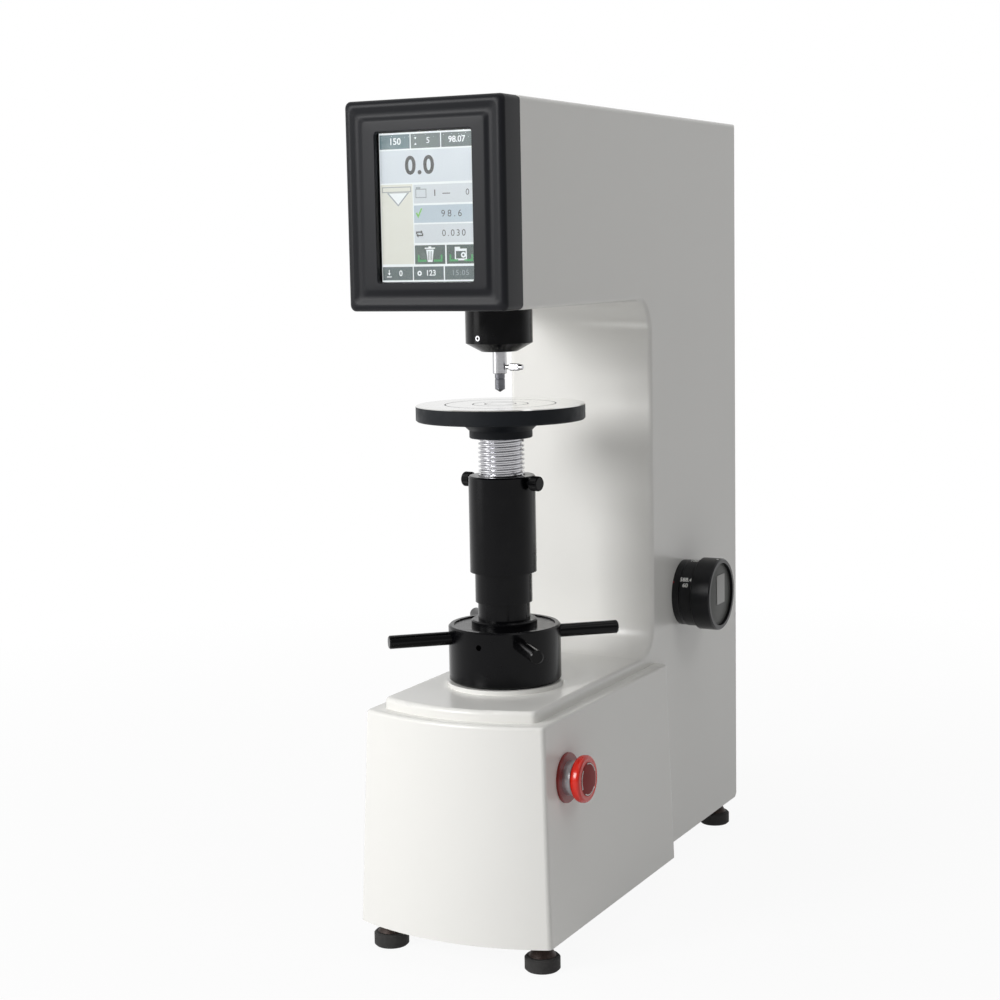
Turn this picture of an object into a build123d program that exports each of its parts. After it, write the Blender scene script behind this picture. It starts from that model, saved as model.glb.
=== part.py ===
from build123d import *
import os
from math import atan2, cos, pi, radians, sin

# Bench hardness tester: a hollow C-shaped casting carries a table on a hand-turned
# elevating screw, and a spindle that a lever with weights presses down on it.
# Lengths are in millimetres. X is right, Y is back and Z is up from the bench.
# Every distance below is measured from the test axis, the line of spindle and table.

# Casting: head, column and base
head_half_width = 74.0
head_front = 99.5
throat_depth = 166.5
column_rear = 396.0
throat_height = 337.5
head_height = 172.5
throat_radius = 28.0
casting_wall = 10.0
casting_edge = 4.0
rear_corner = 7.0
casting_bottom = 26.0
platform_height = 226.0
ledge_drop = 10.0
base_top_half_width = 86.3
base_foot_half_width = 93.2
base_top_corner = 100.0
base_foot_corner = 106.5
base_top_bow = 17.0
base_foot_bow = 19.5
base_rear = 172.5
base_corner = 5.0
base_edge = 3.0
ledge_width = 11.0
platform_corner = 7.0
floor_thickness = 10.0
screw_boss_radius = 36.0
screw_boss_length = 120.0
handwheel_seat_radius = 52.0
handwheel_seat_height = 4.0
nose_boss_radius = 25.0
nose_boss_length = 30.0

# Covers and their screws
cover_thickness = 3.0
cover_seat_width = 10.0
cover_gap = 0.3
top_opening_front = 66.0
top_opening_rear = 370.0
top_opening_half_width = 52.0
rear_opening_rise = 124.0
rear_opening_drop = 46.0
rear_opening_half_width = 52.0
cover_corner = 6.0
cover_screw_radius = 2.0
cover_screw_head_radius = 4.0
cover_screw_length = 16.0
screw_hole_gap = 0.05

# Screen housing at the front of the head
bezel_depth = 30.5
bezel_wall = 4.0
bezel_corner = 4.0
bezel_front_edge = 4.0
bezel_ledge_inset = 8.0
bezel_ledge_depth = 1.0
bezel_rim_inset = 13.0
bezel_rim_width = 5.0
bezel_rim_height = 1.0
window_half_width = 45.5
window_height = 124.0
window_rise = 85.0
window_corner = 2.0
glass_margin = 5.0
glass_thickness = 3.0
display_margin = 2.0
display_thickness = 10.0
spacer_length = 6.0
spacer_radius = 3.0
board_thickness = 1.6
chip_size = 16.0
chip_spacing = 44.0
chip_thickness = 2.5
front_wall_opening_half_width = 46.0
front_wall_opening_height = 112.0
front_wall_opening_rise = 84.5
bezel_boss_radius = 5.0
bezel_boss_side = 62.0
bezel_boss_inset = 14.0

# Elevating screw, table and handwheel
elevating_screw_radius = 20.5
elevating_screw_length = 248.0
screw_running_gap = 0.05
table_radius = 75.0
table_opening = 10.4
table_down_travel = 39.0
table_rim_height = 14.0
table_edge = 1.0
table_hub_radius = 28.0
table_hub_drop = 29.7
table_hub_straight = 6.5
table_cone_radius = 38.0
table_shank_radius = 12.5
table_shank_length = 18.0
table_shank_gap = 0.05
groove_radii = (13.8, 24.5, 49.0)
groove_width = 1.2
groove_depth = 0.6
handwheel_radius = 50.3
handwheel_gap = 1.0
handwheel_height = 50.0
handwheel_edge = 1.5
handwheel_rim_width = 5.0
handwheel_rim_depth = 1.2
handle_count = 4
handle_radius = 6.0
handle_reach = 106.0
handle_socket = 14.0
handle_drop = 10.5
handle_first_angle = 42.0
handle_tip_edge = 1.0
lock_hole_radius = 2.6
lock_hole_depth = 5.0
lock_hole_drop = 13.5
bearing_inner_radius = 24.0
bearing_outer_radius = 37.0
bearing_race = 4.0
bearing_ball_radius = 3.0
bearing_ball_count = 12
bearing_gap = 0.3
guide_outer_radius = 27.0
guide_length = 96.0
key_width = 6.0
key_depth = 3.0
key_length = 14.0
key_gap = 0.3
keyway_length = 236.0

# Telescopic dust sleeves
sleeve_gap = 0.3
lower_sleeve_outer = 23.3
lower_sleeve_inner = 21.3
sleeve_flange_radius = 29.5
sleeve_flange_height = 5.7
middle_sleeve_outer = 25.5
middle_sleeve_rise = 15.7
middle_sleeve_share = 0.38
outer_sleeve_outer = 29.75
outer_sleeve_rise = 27.1
outer_sleeve_drop = 33.5
outer_sleeve_cap = 12.0
sleeve_edge = 1.2
clamp_screw_angle = -10.0
clamp_screw_drop = 5.8
clamp_screw_radius = 2.5
clamp_head_radius = 6.6
clamp_head_length = 9.0
clamp_collar_radius = 4.2
clamp_collar_length = 2.5
clamp_head_edge = 0.8

# Spindle, indenter and nose
spindle_radius = 6.2
spindle_reach = 59.2
spindle_running_gap = 0.05
spindle_collar_radius = 12.0
spindle_collar_height = 5.0
spindle_edge = 0.6
nose_radius = 29.6
nose_tip_radius = 16.0
nose_height = 39.5
nose_chamfer_height = 7.5
guide_bush_radius = 11.0
guide_bush_flange_radius = 17.0
guide_bush_flange_height = 3.5
guide_bush_rise = 9.5
indenter_radius = 4.4
indenter_shank_radius = 3.2
indenter_shank_length = 22.0
indenter_reach = 16.2
indenter_cone_height = 2.6
indenter_gap = 0.05
indenter_screw_rise = 5.9
indenter_screw_radius = 1.6
indenter_screw_reach = 23.0
indenter_screw_neck_radius = 2.2
indenter_screw_neck_length = 4.0
indenter_screw_head_radius = 3.2
indenter_screw_head_edge = 1.0
spring_wire_radius = 1.2
spring_coil_radius = 9.0
spring_turns = 6

# Lever, fulcrum, weights and load drive
fulcrum_ahead = 16.0
fulcrum_rise = 94.5
fulcrum_knife_side = 12.0
fulcrum_knife_reach = 30.0
fulcrum_gap = 0.4
lever_half_width = 12.0
lever_half_height = 18.0
lever_rear_half_height = 12.0
lever_nose = 18.0
lever_rear = 350.0
load_knife_gap = 1.6
load_knife_length = 3.4
load_knife_half_width = 5.0
bridge_drop = 30.0
bridge_thickness = 10.0
bridge_half_depth = 34.0
bridge_leg_inside = 40.0
bridge_leg_thickness = 8.0
cheek_inside = 20.0
cheek_thickness = 9.0
cheek_half_depth = 15.0
cheek_rise = 16.0
hanger_back = 285.0
hanger_pin_radius = 4.0
hanger_pin_gap = 0.35
hanger_cheek_thickness = 4.0
hanger_cheek_gap = 1.0
hanger_cheek_half_depth = 9.0
hanger_rod_radius = 6.0
hanger_yoke_drop = 34.0
hanger_plate_radius = 30.0
hanger_plate_height = 8.0
weight_clearance = 42.0
weight_radius = 56.0
weight_thickness = 34.0
weight_bore_gap = 0.5
weight_slot_gap = 1.0
weight_count = 3
load_cam_back = 335.0
load_cam_radius = 20.0
load_cam_drop = 7.4
load_cam_turn = 170.0
load_cam_half_width = 7.0
load_cam_gap = 0.5
cam_shaft_radius = 5.0
motor_depth = 56.0
motor_height = 60.0
motor_clearance = 4.0
motor_corner = 5.0
sensor_depth = 24.0
sensor_height = 30.0
sensor_gap = 5.0
cam_shaft_grip = 12.0
cam_points = 12

# Load selector on the right of the column
selector_back = 246.0
selector_height = 273.0
selector_ring_radius = 32.2
selector_ring_width = 7.0
selector_gap = 0.4
selector_dial_radius = 32.6
selector_dial_width = 12.0
selector_knob_radius = 35.2
selector_knob_width = 20.5
selector_knob_wall = 4.5
selector_knob_recess = 3.0
selector_edge = 1.2
selector_spigot_radius = 13.0
selector_shaft_radius = 6.0
selector_shaft_inner_end = 20.0
selector_running_gap = 0.05
selector_cam_radius = 30.0
selector_cam_width = 10.0
selector_lobe_radius = 7.0
selector_positions = 3
selector_step = 60.0

# Emergency stop on the right of the base
stop_ahead = 60.0
stop_drop = 62.5
stop_ring_radius = 21.7
stop_ring_height = 2.5
stop_collar_radius = 15.2
stop_collar_height = 10.0
stop_thread_radius = 11.0
stop_plunger_radius = 6.5
stop_gap = 0.3
stop_travel = 5.0
stop_cap_start = 11.0
stop_cap_back_radius = 17.0
stop_cap_radius = 20.3
stop_cap_widest = 15.5
stop_cap_rim = 17.5
stop_cap_shoulder = 20.0
stop_cap_top = 21.0
stop_cap_face_radius = 16.5
stop_contacts_half_width = 15.0
stop_contacts_length = 34.0
stop_contacts_gap = 2.0
stop_plunger_tail = 8.0
stop_cap_seat = 3.0

# Mains inlet and power switch at the rear, and the power supply
inlet_side = 38.0
inlet_height = 92.0
inlet_flange_width = 30.0
inlet_flange_height = 50.0
inlet_flange_thickness = 3.0
inlet_body_depth = 28.0
inlet_body_width = 26.0
inlet_body_height = 46.0
inlet_wall_gap = 0.3
socket_width = 22.0
socket_height = 16.0
socket_depth = 16.0
socket_drop = 11.0
socket_pin_length = 11.0
socket_pin_width = 2.0
socket_pin_height = 4.0
socket_pin_spread = 7.0
socket_pin_stagger = 4.0
rocker_width = 12.0
rocker_half_height = 7.3
rocker_rise = 12.5
rocker_gap = 0.4
rocker_crown = 1.3
rocker_back_half_height = 5.0
rocker_back = 1.5
rocker_pivot_depth = 4.0
rocker_pivot_radius = 1.2
rocker_pivot_length = 1.5
rocker_tilt = 10.0
supply_half_width = 48.0
supply_front = 205.0
supply_rear = 345.0
supply_height = 42.0
supply_corner = 3.0
terminal_block_width = 60.0
terminal_block_depth = 14.0
terminal_block_height = 12.0

# Levelling feet
foot_side_front = 74.8
foot_ahead = 85.9
foot_side_rear = 56.0
foot_back = 374.0
foot_pad_radius = 15.5
foot_pad_height = 12.5
foot_pad_edge = 1.5
foot_socket_radius = 7.3
foot_socket_depth = 5.0
foot_gap = 0.3
foot_cone_radius = 12.0
foot_cone_top_radius = 8.0
foot_cone_height = 6.4
foot_stud_radius = 5.0
foot_stud_top = 52.0
foot_ball_radius = 7.0
foot_thread_gap = 0.05
foot_nut_across_flats = 17.0
foot_nut_height = 6.0
foot_boss_radius = 13.0
foot_boss_top = 66.0

# The origin lies under the middle of the whole outline, so the test axis is off to one side.
bezel_front = head_front + bezel_depth
selector_outside = selector_ring_width + selector_gap + selector_dial_width + selector_knob_width
selector_reach = head_half_width + selector_outside
flange_face = column_rear + inlet_flange_thickness
rocker_tip = rocker_pivot_depth + rocker_crown
rocker_lean = radians(rocker_tilt)
rocker_proud = rocker_tip * cos(rocker_lean) + rocker_half_height * sin(rocker_lean) - rocker_pivot_depth
rear_reach = flange_face + rocker_proud
axis_x = (base_foot_half_width - selector_reach) / 2
axis_y = (bezel_front - rear_reach) / 2


def level(z):
    """Horizontal plane at height z with its origin on the test axis."""
    return Plane(origin=(axis_x, axis_y, z))


def upright(x=0.0):
    """Plane across X, seen from the right: sketch x runs back and sketch y runs up."""
    return Plane(origin=(axis_x + x, axis_y, 0), x_dir=(0, 1, 0), z_dir=(1, 0, 0))


def facing(y):
    """Plane across Y, seen from the front: sketch x runs right and sketch y runs up."""
    return Plane(origin=(axis_x, axis_y + y, 0), x_dir=(1, 0, 0), z_dir=(0, -1, 0))


def seat(x, y, z, normal, across):
    """Plane on a turned piece's axis: its normal is the axis, seen from the test axis' origin."""
    return Plane(origin=(axis_x + x, axis_y + y, z), x_dir=across, z_dir=normal)


def section(base):
    """Plane through a seat's axis: sketch x is the radius and sketch y the height along it."""
    return Plane(origin=base.origin, x_dir=base.x_dir, z_dir=-base.y_dir)


def save(name, piece):
    """Label a finished piece and write it as its own file."""
    piece.label = name
    export_step(piece, f"parts/{name}.step")


os.makedirs("parts", exist_ok=True)
bench_axis = seat(0, 0, 0, (0, 0, 1), (1, 0, 0))
test_axis = Axis(bench_axis.origin, bench_axis.z_dir)

# Heights that several pieces share
head_underside = platform_height + throat_height
head_floor = head_underside + casting_wall
top_height = head_underside + head_height
window_centre = head_underside + window_rise
front_wall_opening_centre = head_underside + front_wall_opening_rise
rear_opening_bottom = casting_bottom + rear_opening_rise
rear_opening_top = top_height - rear_opening_drop
nose_bottom = head_underside - nose_height
spindle_bottom = head_underside - spindle_reach
indenter_tip = spindle_bottom - indenter_reach
indenter_screw_height = spindle_bottom + indenter_screw_rise
table_top = indenter_tip - table_opening
table_hub_bottom = table_top - table_hub_drop
elevating_screw_bottom = table_hub_bottom - elevating_screw_length
fulcrum_height = head_floor + fulcrum_rise
bridge_height = fulcrum_height - bridge_drop
lever_bottom = fulcrum_height - lever_half_height
load_knife_tip = lever_bottom - load_knife_length
spindle_top = load_knife_tip - load_knife_gap
weight_bottom = selector_height + selector_cam_radius + weight_clearance
stop_height = platform_height - stop_drop

# Sizes that several pieces share
inner_half_width = head_half_width - casting_wall
cavity_front = head_front - casting_wall
cavity_rear = column_rear - casting_wall
cavity_top = top_height - casting_wall
cavity_wall = throat_depth + casting_wall
base_floor = casting_bottom + floor_thickness
ledge_height = platform_height - ledge_drop
handwheel_seat = platform_height + handwheel_seat_height
handwheel_bottom = handwheel_seat + handwheel_gap
handwheel_top = handwheel_bottom + handwheel_height
handwheel_land = handwheel_top - handwheel_rim_depth
bearing_height = 2 * bearing_race + 2 * bearing_ball_radius
guide_top = handwheel_seat - handwheel_gap
guide_bottom = guide_top - guide_length
table_underside = table_top - table_rim_height
sleeve_flange_top = handwheel_land + sleeve_flange_height
middle_sleeve_bottom = sleeve_flange_top + middle_sleeve_rise
outer_sleeve_bottom = middle_sleeve_bottom + outer_sleeve_rise
outer_sleeve_top = table_hub_bottom - outer_sleeve_drop
outer_sleeve_ceiling = outer_sleeve_top - outer_sleeve_cap
lower_sleeve_top = outer_sleeve_ceiling - table_down_travel - 2 * sleeve_gap
middle_sleeve_top = outer_sleeve_ceiling - (1 - middle_sleeve_share) * table_down_travel - sleeve_gap
hanger_bottom = weight_bottom - hanger_plate_height
foot_places = (
    (foot_side_front, -foot_ahead),
    (-foot_side_front, -foot_ahead),
    (foot_side_rear, foot_back),
    (-foot_side_rear, foot_back),
)


def behind(y):
    """Plane across Y, seen from the rear: sketch x runs left and sketch y runs up."""
    return Plane(origin=(axis_x, axis_y + y, 0), x_dir=(-1, 0, 0), z_dir=(0, 1, 0))


def rising(edge):
    """True for an edge that climbs."""
    return abs(edge.tangent_at(0.5).Z) > 0.9


def closed_outline(*points):
    """Face inside straight runs from point to point."""
    with BuildSketch() as outline:
        with BuildLine():
            Polyline(*points, close=True)
        make_face()
    return outline.sketch


def base_outline(half_width, corner, bow, rear):
    """Plan of the base: straight sides and a front that bows forward."""
    with BuildSketch() as outline:
        with BuildLine():
            Polyline((half_width, -corner), (half_width, rear), (-half_width, rear), (-half_width, -corner))
            ThreePointArc((-half_width, -corner), (0, -corner - bow), (half_width, -corner))
        make_face()
    return outline.sketch


# Places on the casting where other pieces go through
flare = atan2(base_foot_half_width - base_top_half_width, ledge_height - casting_bottom)
stop_side = base_foot_half_width - (stop_height - casting_bottom) * sin(flare) / cos(flare)
stop_seat = seat(stop_side, -stop_ahead, stop_height, (cos(flare), 0, sin(flare)), (0, 1, 0))
stop_axis = Axis(stop_seat.origin, stop_seat.z_dir)
selector_seat = seat(head_half_width, selector_back, selector_height, (1, 0, 0), (0, 1, 0))
top_cover_middle = (top_opening_rear - top_opening_front) / 2
top_cover_length = top_opening_rear + top_opening_front + 2 * cover_seat_width
rear_cover_middle = (rear_opening_bottom + rear_opening_top) / 2
rear_cover_height = rear_opening_top - rear_opening_bottom + 2 * cover_seat_width
cover_width = 2 * (top_opening_half_width + cover_seat_width)
cover_screw_side = top_opening_half_width + cover_seat_width / 2
top_screw_places = [
    (side * cover_screw_side, top_cover_middle + end * (top_cover_length - cover_seat_width) / 2)
    for side in (-1, 1)
    for end in (-1, 1)
]
rear_screw_places = [
    (side * cover_screw_side, rear_cover_middle + end * (rear_cover_height - cover_seat_width) / 2)
    for side in (-1, 1)
    for end in (-1, 0, 1)
]
bezel_screw_places = [
    (side * bezel_boss_side, height)
    for side in (-1, 1)
    for height in (head_underside + bezel_boss_inset, top_height - bezel_boss_inset)
]
screw_hole_radius = cover_screw_radius + screw_hole_gap


# Casting: flared base, platform, column and head in one hollow piece
def on_rounded_rim(edge):
    """True for the outer edges of platform, throat, head and column that are rounded."""
    middle = edge @ 0.5
    across = abs(middle.X - axis_x)
    back = middle.Y - axis_y
    on_side = abs(across - head_half_width) < 0.01 and back > 0.01 - head_front
    on_platform = abs(middle.Z - platform_height) < 0.01 and back < throat_depth - throat_radius - 1
    return middle.Z > ledge_height + 1 and (on_side or on_platform)


with BuildPart() as frame_casting:
    with BuildSketch(level(casting_bottom)):
        add(base_outline(base_foot_half_width, base_foot_corner, base_foot_bow, base_rear))
    with BuildSketch(level(ledge_height)):
        add(base_outline(base_top_half_width, base_top_corner, base_top_bow, base_rear))
    loft()
    fillet(frame_casting.edges().filter_by(rising), radius=base_corner)
    fillet(frame_casting.faces().sort_by(Axis.Z)[-1].edges(), radius=base_edge)
    with BuildSketch(level(ledge_height - ledge_drop)):
        add(base_outline(head_half_width, base_top_corner - ledge_width, base_top_bow, throat_depth))
    extrude(amount=2 * ledge_drop)
    platform_corners = frame_casting.edges().filter_by(rising)
    platform_corners = platform_corners.filter_by_position(Axis.Z, ledge_height, platform_height)
    fillet(platform_corners.sort_by(Axis.Y)[:2], radius=platform_corner)
    with BuildSketch(upright()):
        with BuildLine():
            Polyline(
                (throat_depth - throat_radius, platform_height),
                (throat_depth - throat_radius, casting_bottom),
                (column_rear - rear_corner, casting_bottom),
                (column_rear, casting_bottom + rear_corner),
                (column_rear, top_height),
                (-head_front, top_height),
                (-head_front, head_underside),
                (throat_depth - throat_radius, head_underside),
            )
            RadiusArc(
                (throat_depth - throat_radius, head_underside),
                (throat_depth, head_underside - throat_radius),
                throat_radius,
            )
            Line(
                (throat_depth, head_underside - throat_radius),
                (throat_depth, platform_height + throat_radius),
            )
            RadiusArc(
                (throat_depth, platform_height + throat_radius),
                (throat_depth - throat_radius, platform_height),
                throat_radius,
            )
        make_face()
    extrude(amount=head_half_width, both=True)
    fillet(frame_casting.edges().filter_by(on_rounded_rim), radius=casting_edge)
    # Hollow base, open into the hollow column and head
    with BuildSketch(level(base_floor)):
        add(
            base_outline(
                base_foot_half_width - casting_wall,
                base_foot_corner - casting_wall,
                base_foot_bow,
                cavity_wall,
            )
        )
    with BuildSketch(level(ledge_height - casting_wall)):
        add(
            base_outline(
                base_top_half_width - casting_wall,
                base_top_corner - casting_wall,
                base_top_bow,
                cavity_wall,
            )
        )
    loft(mode=Mode.SUBTRACT)
    with BuildSketch(upright()):
        add(
            closed_outline(
                (base_rear - casting_wall, base_floor),
                (cavity_rear, base_floor),
                (cavity_rear, cavity_top),
                (-cavity_front, cavity_top),
                (-cavity_front, head_floor),
                (cavity_wall, head_floor),
                (cavity_wall, ledge_height - casting_wall),
                (base_rear - casting_wall, ledge_height - casting_wall),
            )
        )
    extrude(amount=inner_half_width, both=True, mode=Mode.SUBTRACT)
    # Openings for the covers, each with a seat around it, and for the screen's cables
    with BuildSketch(level(top_height)):
        with Locations((0, top_cover_middle)):
            Rectangle(2 * top_opening_half_width, top_opening_front + top_opening_rear)
    extrude(amount=-casting_wall, mode=Mode.SUBTRACT)
    with BuildSketch(level(top_height)):
        with Locations((0, top_cover_middle)):
            RectangleRounded(cover_width, top_cover_length, cover_corner)
    extrude(amount=-cover_thickness, mode=Mode.SUBTRACT)
    with BuildSketch(behind(column_rear)):
        with Locations((0, rear_cover_middle)):
            Rectangle(2 * rear_opening_half_width, rear_opening_top - rear_opening_bottom)
    extrude(amount=-casting_wall, mode=Mode.SUBTRACT)
    with BuildSketch(behind(column_rear)):
        with Locations((0, rear_cover_middle)):
            RectangleRounded(cover_width, rear_cover_height, cover_corner)
    extrude(amount=-cover_thickness, mode=Mode.SUBTRACT)
    with BuildSketch(facing(-head_front)):
        with Locations((0, front_wall_opening_centre)):
            Rectangle(
                2 * front_wall_opening_half_width,
                front_wall_opening_height,
            )
    extrude(amount=-casting_wall, mode=Mode.SUBTRACT)
    # Bosses for the screw guide, the handwheel, the nose and the feet
    with BuildSketch(level(ledge_height)):
        Circle(screw_boss_radius)
    extrude(amount=-screw_boss_length)
    with BuildSketch(level(platform_height)):
        Circle(handwheel_seat_radius)
    extrude(amount=handwheel_seat_height)
    with BuildSketch(level(head_underside)):
        Circle(nose_boss_radius)
    extrude(amount=-nose_boss_length)
    with BuildSketch(level(casting_bottom)):
        with Locations(*foot_places):
            Circle(foot_boss_radius)
    extrude(amount=foot_boss_top - casting_bottom)
    # Bores through those bosses and through the walls
    with BuildSketch(level(handwheel_seat)):
        Circle(guide_outer_radius)
    extrude(amount=-(handwheel_seat - ledge_height + screw_boss_length), mode=Mode.SUBTRACT)
    with BuildSketch(level(head_floor)):
        Circle(guide_bush_radius)
    extrude(amount=-(casting_wall + nose_boss_length), mode=Mode.SUBTRACT)
    with BuildSketch(level(casting_bottom)):
        with Locations(*foot_places):
            Circle(foot_stud_radius + foot_thread_gap)
    extrude(amount=foot_boss_top - casting_bottom, mode=Mode.SUBTRACT)
    with BuildSketch(selector_seat):
        Circle(selector_spigot_radius)
    extrude(amount=-casting_wall, mode=Mode.SUBTRACT)
    with BuildSketch(stop_seat):
        Circle(stop_thread_radius)
    extrude(amount=-2 * casting_wall, mode=Mode.SUBTRACT)
    with BuildSketch(behind(column_rear)):
        with Locations((-inlet_side, inlet_height)):
            Rectangle(inlet_body_width, inlet_body_height)
    extrude(amount=-casting_wall, mode=Mode.SUBTRACT)
    # Screw holes for the covers and the screen housing
    with BuildSketch(level(top_height)):
        with Locations(*top_screw_places):
            Circle(screw_hole_radius)
    extrude(amount=-casting_wall, mode=Mode.SUBTRACT)
    with BuildSketch(behind(column_rear)):
        with Locations(*rear_screw_places):
            Circle(screw_hole_radius)
    extrude(amount=-casting_wall, mode=Mode.SUBTRACT)
    with Locations(behind(-cavity_front)):
        with Locations(*bezel_screw_places):
            CounterSinkHole(screw_hole_radius, cover_screw_head_radius + screw_hole_gap, casting_wall)
save("frame_casting", frame_casting.part)

# Covers over the top and rear openings, sunk flush into their seats
with BuildPart() as top_cover:
    with BuildSketch(level(top_height)):
        with Locations((0, top_cover_middle)):
            RectangleRounded(
                cover_width - 2 * cover_gap, top_cover_length - 2 * cover_gap, cover_corner - cover_gap
            )
    extrude(amount=-cover_thickness)
    with Locations(level(top_height)):
        with Locations(*top_screw_places):
            CounterSinkHole(screw_hole_radius, cover_screw_head_radius + screw_hole_gap, cover_thickness)
save("top_cover", top_cover.part)

with BuildPart() as rear_cover:
    with BuildSketch(behind(column_rear)):
        with Locations((0, rear_cover_middle)):
            RectangleRounded(
                cover_width - 2 * cover_gap, rear_cover_height - 2 * cover_gap, cover_corner - cover_gap
            )
    extrude(amount=-cover_thickness)
    with Locations(behind(column_rear)):
        with Locations(*rear_screw_places):
            CounterSinkHole(screw_hole_radius, cover_screw_head_radius + screw_hole_gap, cover_thickness)
save("rear_cover", rear_cover.part)

# One countersunk screw, and its copies in the covers and in the screen housing
screw_neck = cover_screw_head_radius - cover_screw_radius
with BuildPart() as screw_pattern:
    with BuildSketch(Plane.XZ):
        add(
            closed_outline(
                (0, 0),
                (cover_screw_head_radius, 0),
                (cover_screw_radius, -screw_neck),
                (cover_screw_radius, -cover_screw_length),
                (0, -cover_screw_length),
            )
        )
    revolve(axis=Axis.Z)

with BuildPart() as cover_screws:
    with Locations(level(top_height)):
        with Locations(*top_screw_places):
            add(screw_pattern.part)
    with Locations(behind(column_rear)):
        with Locations(*rear_screw_places):
            add(screw_pattern.part)
    with Locations(behind(-cavity_front)):
        with Locations(*bezel_screw_places):
            add(screw_pattern.part)
save("cover_screws", cover_screws.part)

# Screen housing: a moulded frame with a stepped front, a rounded rim and a window
head_middle = (head_underside + top_height) / 2
head_height = top_height - head_underside
glass_front = bezel_front - bezel_wall
with BuildPart() as screen_bezel:
    with BuildSketch(facing(-head_front)):
        with Locations((0, head_middle)):
            RectangleRounded(2 * head_half_width, head_height, bezel_corner)
    extrude(amount=bezel_depth)
    fillet(screen_bezel.faces().sort_by(Axis.Y)[0].edges(), radius=bezel_front_edge)
    with BuildSketch(facing(-head_front)):
        with Locations((0, head_middle)):
            Rectangle(2 * (head_half_width - bezel_wall), head_height - 2 * bezel_wall)
    extrude(amount=bezel_depth - bezel_wall, mode=Mode.SUBTRACT)
    with BuildSketch(facing(-bezel_front)):
        with Locations((0, head_middle)):
            RectangleRounded(
                2 * (head_half_width - bezel_ledge_inset), head_height - 2 * bezel_ledge_inset, bezel_corner
            )
    extrude(amount=-bezel_ledge_depth, mode=Mode.SUBTRACT)
    rim_half_width = head_half_width - bezel_rim_inset
    rim_half_height = head_height / 2 - bezel_rim_inset
    with BuildSketch(facing(bezel_ledge_depth - bezel_front)):
        with Locations((0, head_middle)):
            RectangleRounded(2 * rim_half_width, 2 * rim_half_height, 2 * bezel_rim_width)
            RectangleRounded(
                2 * (rim_half_width - bezel_rim_width),
                2 * (rim_half_height - bezel_rim_width),
                bezel_rim_width,
                mode=Mode.SUBTRACT,
            )
    extrude(amount=bezel_rim_height)
    with BuildSketch(facing(-bezel_front)):
        with Locations((0, window_centre)):
            RectangleRounded(2 * window_half_width, window_height, window_corner)
    extrude(amount=-bezel_wall, mode=Mode.SUBTRACT)
    with BuildSketch(facing(-head_front)):
        with Locations(*bezel_screw_places):
            Circle(bezel_boss_radius)
    extrude(amount=bezel_depth - bezel_wall)
    with BuildSketch(facing(-head_front)):
        with Locations(*bezel_screw_places):
            Circle(screw_hole_radius)
    extrude(amount=cover_screw_length - casting_wall + screw_neck, mode=Mode.SUBTRACT)
save("screen_bezel", screen_bezel.part)

with BuildPart() as screen_glass:
    with BuildSketch(facing(-glass_front)):
        with Locations((0, window_centre)):
            Rectangle(2 * (window_half_width + glass_margin), window_height + 2 * glass_margin)
    extrude(amount=-glass_thickness)
save("screen_glass", screen_glass.part)

display_front = glass_front - glass_thickness
display_back = display_front - display_thickness
display_width = 2 * (window_half_width + display_margin)
display_height = window_height + 2 * display_margin
with BuildPart() as display_module:
    with BuildSketch(facing(-display_front)):
        with Locations((0, window_centre)):
            Rectangle(display_width, display_height)
    extrude(amount=-display_thickness)
save("display_module", display_module.part)

board_front = display_back - spacer_length
spacer_inset = 2 * spacer_radius
with BuildPart() as control_board:
    with BuildSketch(facing(-board_front)):
        with Locations((0, window_centre)):
            Rectangle(display_width, display_height)
    extrude(amount=-board_thickness)
    with BuildSketch(facing(-display_back)):
        with Locations((0, window_centre)):
            with GridLocations(display_width - 2 * spacer_inset, display_height - 2 * spacer_inset, 2, 2):
                Circle(spacer_radius)
    extrude(amount=-spacer_length)
    with BuildSketch(facing(board_thickness - board_front)):
        with Locations((0, window_centre)):
            with GridLocations(chip_spacing, chip_spacing, 2, 2):
                Rectangle(chip_size, chip_size)
    extrude(amount=-chip_thickness)
save("control_board", control_board.part)

# Elevating screw with its keyway, and the key and guide that stop it turning
keyway_radius = elevating_screw_radius - key_depth - key_gap
key_top = guide_top - bearing_race
with BuildPart() as elevating_screw:
    with BuildSketch(level(elevating_screw_bottom)):
        Circle(elevating_screw_radius)
    extrude(amount=table_hub_bottom - elevating_screw_bottom)
    chamfer(elevating_screw.edges().sort_by(Axis.Z)[0], length=2 * handwheel_edge)
    with BuildSketch(level(table_hub_bottom)):
        Circle(table_shank_radius + table_shank_gap)
    extrude(amount=-(table_shank_length + sleeve_gap), mode=Mode.SUBTRACT)
    with BuildSketch(level(elevating_screw_bottom)):
        with Locations((0, keyway_radius + key_depth)):
            Rectangle(key_width + 2 * key_gap, 2 * key_depth)
    extrude(amount=keyway_length, mode=Mode.SUBTRACT)
save("elevating_screw", elevating_screw.part)

with BuildPart() as screw_guide:
    with BuildSketch(level(guide_bottom)):
        Circle(guide_outer_radius)
        Circle(elevating_screw_radius + screw_running_gap, mode=Mode.SUBTRACT)
    extrude(amount=guide_length)
    with BuildSketch(level(key_top - key_length)):
        with Locations((0, (elevating_screw_radius + guide_outer_radius) / 2)):
            Rectangle(key_width, guide_outer_radius - elevating_screw_radius + 2)
    extrude(amount=guide_top - key_top + key_length, mode=Mode.SUBTRACT)
save("screw_guide", screw_guide.part)

with BuildPart() as guide_key:
    key_inside = elevating_screw_radius - key_depth
    with BuildSketch(level(key_top - key_length)):
        with Locations((0, (key_inside + guide_outer_radius - 1) / 2)):
            Rectangle(key_width, guide_outer_radius - 1 - key_inside)
    extrude(amount=key_length)
save("guide_key", guide_key.part)

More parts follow.
